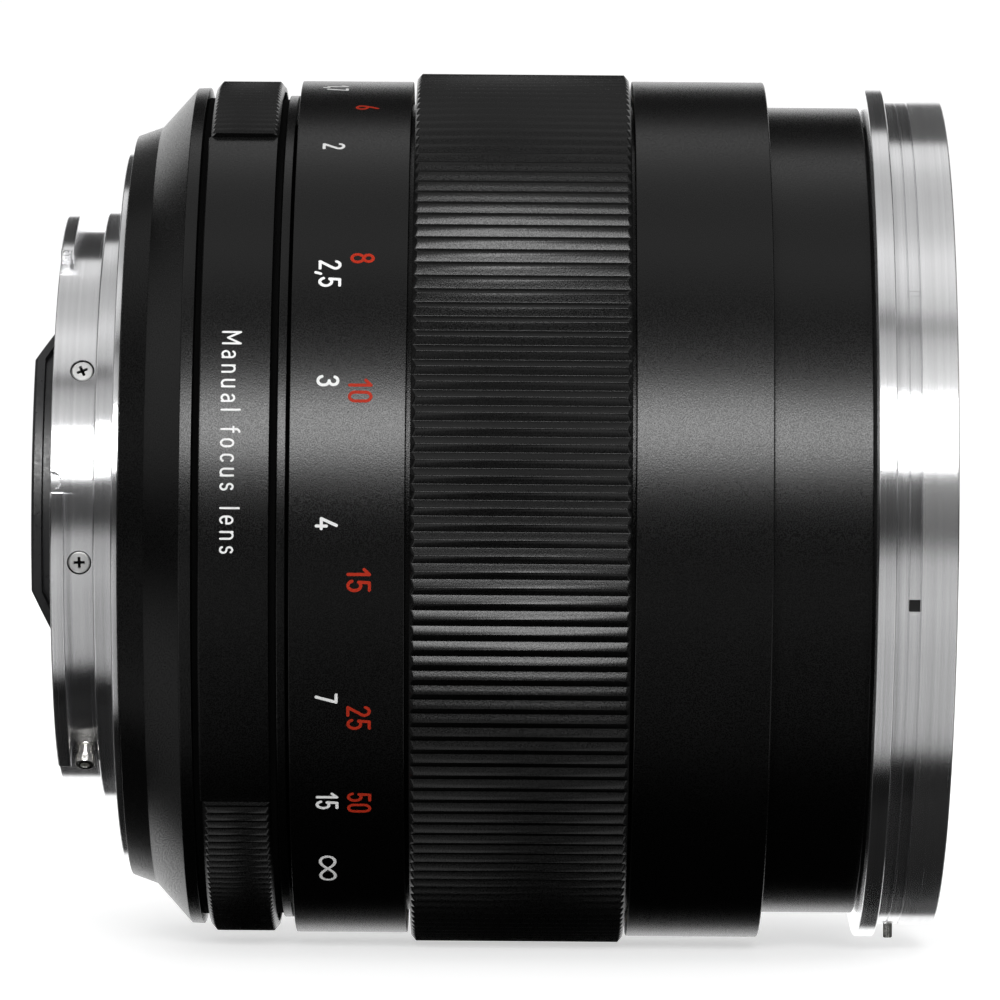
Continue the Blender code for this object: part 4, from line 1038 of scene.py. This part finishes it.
def make_engraving():
    angles = METRES | {text: scale_angle(distance) for text, distance in MORE_METRES.items()}
    marks = [(text, METRE_FOOT, METRE_HEIGHT, angle, TRACKING) for text, angle in angles.items()]
    engrave("metre_figures", marks, SCALE_RADIUS, "focus_ring", WHITE, 0.135)
    metres = {text: float(text.replace(",", ".")) * METRES_PER_FOOT for text in FEET}
    marks = [(text, FEET_FOOT, FEET_HEIGHT, scale_angle(d), TRACKING) for text, d in metres.items()]
    engrave("feet_figures", marks, SCALE_RADIUS, "focus_ring", ORANGE, 0.13)
    words = [("Manual focus lens", 9.56, 1.7, -8.55, 0.265)]
    engrave("rear_ring_words", words, GRIP_SMOOTH, "fixed_barrel", WHITE, 0.105)

    marks = []
    for text, offset in DEPTH_MARKS:
        marks += [(text, 9.7, 1.45, TOP + way * offset, TRACKING) for way in (-1, 1)]
    engrave("depth_figures", marks, GRIP_SMOOTH, "fixed_barrel", WHITE, 0.12)
    form = bmesh.new()
    lines = [(0.0, 9.6, 13.35, 0.26)]
    for _, offset in DEPTH_MARKS:
        lines += [(way * offset, 11.9, 13.35, 0.14) for way in (-1, 1)]
    for offset, low, high, width in lines:
        def place(u, v, up):
            r = GRIP_SMOOTH + (0.014 if up else -0.02)
            return u * MM, *(q * MM for q in on_ring(r, TOP + offset + math.degrees(v / GRIP_SMOOTH)))
        lay_ribbon(form, [(low, 0.0), (high, 0.0)], width, place, 0.8)
    bmesh.ops.recalc_face_normals(form, faces=form.faces)
    lines_mesh = to_mesh(form, "depth_lines")
    face_outwards(add_piece("depth_lines", lines_mesh, "fixed_barrel", WHITE))


# ---- stage, light and camera

FLOOR_Z = CAD_BOX[0].z - 0.0001


def stage_material(name, colour, glow):
    material, _, shader = new_material(name, colour, 0.6)
    shader.inputs["Emission Color"].default_value = (1, 1, 1, 1)
    shader.inputs["Emission Strength"].default_value = glow
    return material


def add_stage(name, form, material):
    item = bpy.data.objects.new(name, to_mesh(form, name))
    item.data.materials.append(material)
    item.data.shade_smooth()
    bpy.context.scene.collection.objects.link(item)
    item.visible_glossy = False
    item.visible_diffuse = False
    item.visible_transmission = False
    return item


def make_stage():
    form = bmesh.new()
    bmesh.ops.create_circle(form, cap_ends=True, segments=96, radius=4.2)
    bmesh.ops.translate(form, verts=form.verts, vec=(0.03, 0, FLOOR_Z))
    add_stage("studio_floor", form, stage_material("pale_floor", (0.85, 0.85, 0.85), 0.55))
    form = bmesh.new()
    bmesh.ops.create_uvsphere(form, u_segments=48, v_segments=24, radius=4.0)
    dome = add_stage("studio_dome", form, stage_material("pale_dome", (0, 0, 0), 1.0))
    dome.visible_shadow = False


# Brightness of the studio round the lens's axis: degrees from the camera side, positive downwards.
# The softbox is the stretch at PEAK.
PEAK = 15.5
AROUND = (
    (-180, 1.4), (-159, 1.4), (-156, 0.03), (-124, 0.03), (-121.5, 1.05), (-112, 1.05), (-106, 0.8),
    (-97, 0.58), (-84, 0.58), (-73, 0.85), (-64, 0.62), (-57, 0.4), (-54.5, 0.1), (-50.5, 0.1), (-49, 0.28),
    (-30, 0.6), (-29.5, PEAK), (-13.5, PEAK), (-11.5, 0.04), (7, 0.01), (14, 0.2), (26, 0.2), (40, 0.06),
    (60, 0.01), (152, 0.0), (156, 1.2), (180, 1.3),
)
# The same further out towards the ends.
SIDES = (
    (-180, 1.2), (-150, 1.2), (-148, 0.15), (-123, 0.2), (-121.5, 0.1), (-112, 0.12), (-104, 0.5),
    (-84, 0.85), (-72, 1.2), (-57, 1.1), (-53.5, 0.45), (-50.5, 0.45), (-49, 0.9), (-30, 1.3), (-13.5, 1.2),
    (-10, 0.12), (6, 0.1), (9, 0.3), (14, 1.05), (26, 1.25), (60, 1.35), (70, 1.3), (74, 0.0), (84, 0.0),
    (90, 0.03), (140, 0.05), (145, 1.0), (180, 1.2),
)
# At the two ends, by height from straight down to straight up.
ENDS = (
    (-1, 0.1), (-0.42, 0.15), (-0.34, 0.4), (-0.2, 0.35), (-0.17, 0.0), (0.02, 0.02), (0.08, 0.45),
    (0.36, 0.5), (0.43, 0.1), (0.6, 0.3), (1, 0.9),
)
DARK = 0.03


def light_ramp(tree, value, stops):
    """Levels along a table whose places run from its first stop to its last."""
    made = place_node(tree, "ShaderNodeValToRGB")
    first, last = stops[0][0], stops[-1][0]
    tree.links.new(spread(tree, value, 0, 1, first, last), made.inputs[0])
    ramp = made.color_ramp
    while len(ramp.elements) < len(stops):
        ramp.elements.new(0.5)
    for element, (place, level) in zip(ramp.elements, stops):
        element.position = (place - first) / (last - first)
    for element, (place, level) in zip(ramp.elements, stops):
        element.color = (level / PEAK, level / PEAK, level / PEAK, 1)
    return made.outputs["Color"]


def blend(tree, factor, one, other):
    made = place_node(tree, "ShaderNodeMix", data_type="RGBA")
    colours = [socket for socket in made.inputs if socket.type == "RGBA"]
    tree.links.new(factor, made.inputs["Factor"])
    tree.links.new(one, colours[0])
    tree.links.new(other, colours[1])
    return next(socket for socket in made.outputs if socket.type == "RGBA")


def make_world():
    world = bpy.data.worlds.new("studio")
    bpy.context.scene.world = world
    world.use_nodes = True
    tree = world.node_tree
    parts = place_node(tree, "ShaderNodeSeparateXYZ")
    tree.links.new(place_node(tree, "ShaderNodeTexCoord").outputs["Generated"], parts.inputs[0])
    down, near = (maths(tree, "MULTIPLY", parts.outputs[k], -1.0) for k in (2, 1))
    turn = maths(tree, "MULTIPLY", maths(tree, "ARCTAN2", down, near), 180 / math.pi)
    across = maths(tree, "ABSOLUTE", parts.outputs[0])
    near_sides = blend(tree, spread(tree, across, 0, 1, 0.14, 0.3), light_ramp(tree, turn, AROUND),
                       light_ramp(tree, turn, SIDES))
    dark = light_ramp(tree, across, ((0, DARK), (1, DARK)))
    far_sides = blend(tree, spread(tree, across, 0, 1, 0.52, 0.58), near_sides, dark)
    ends = blend(tree, spread(tree, across, 0, 1, 0.7, 0.76), far_sides,
                 light_ramp(tree, parts.outputs[2], ENDS))
    background = tree.nodes["Background"]
    tree.links.new(ends, background.inputs["Color"])
    background.inputs["Strength"].default_value = PEAK


def make_camera():
    data = bpy.data.cameras.new("camera")
    data.lens = 247.1
    data.sensor_width = 36.0
    data.shift_x = -0.0015
    data.clip_start, data.clip_end = 0.01, 20.0
    camera = bpy.data.objects.new("camera", data)
    bpy.context.scene.collection.objects.link(camera)
    camera.location = (0.03345, -0.619, 0.0007)
    camera.rotation_euler = (math.pi / 2, math.radians(-0.44), 0)
    bpy.context.scene.camera = camera
    bpy.context.scene.view_settings.view_transform = "Standard"


make_mount()
make_contacts()
make_fixed_barrel()
make_rear_grip()
make_focus_ring()
make_barrel()
make_elements()
make_cells()
dress_inner_nodes()
make_engraving()
make_stage()
make_world()
make_camera()
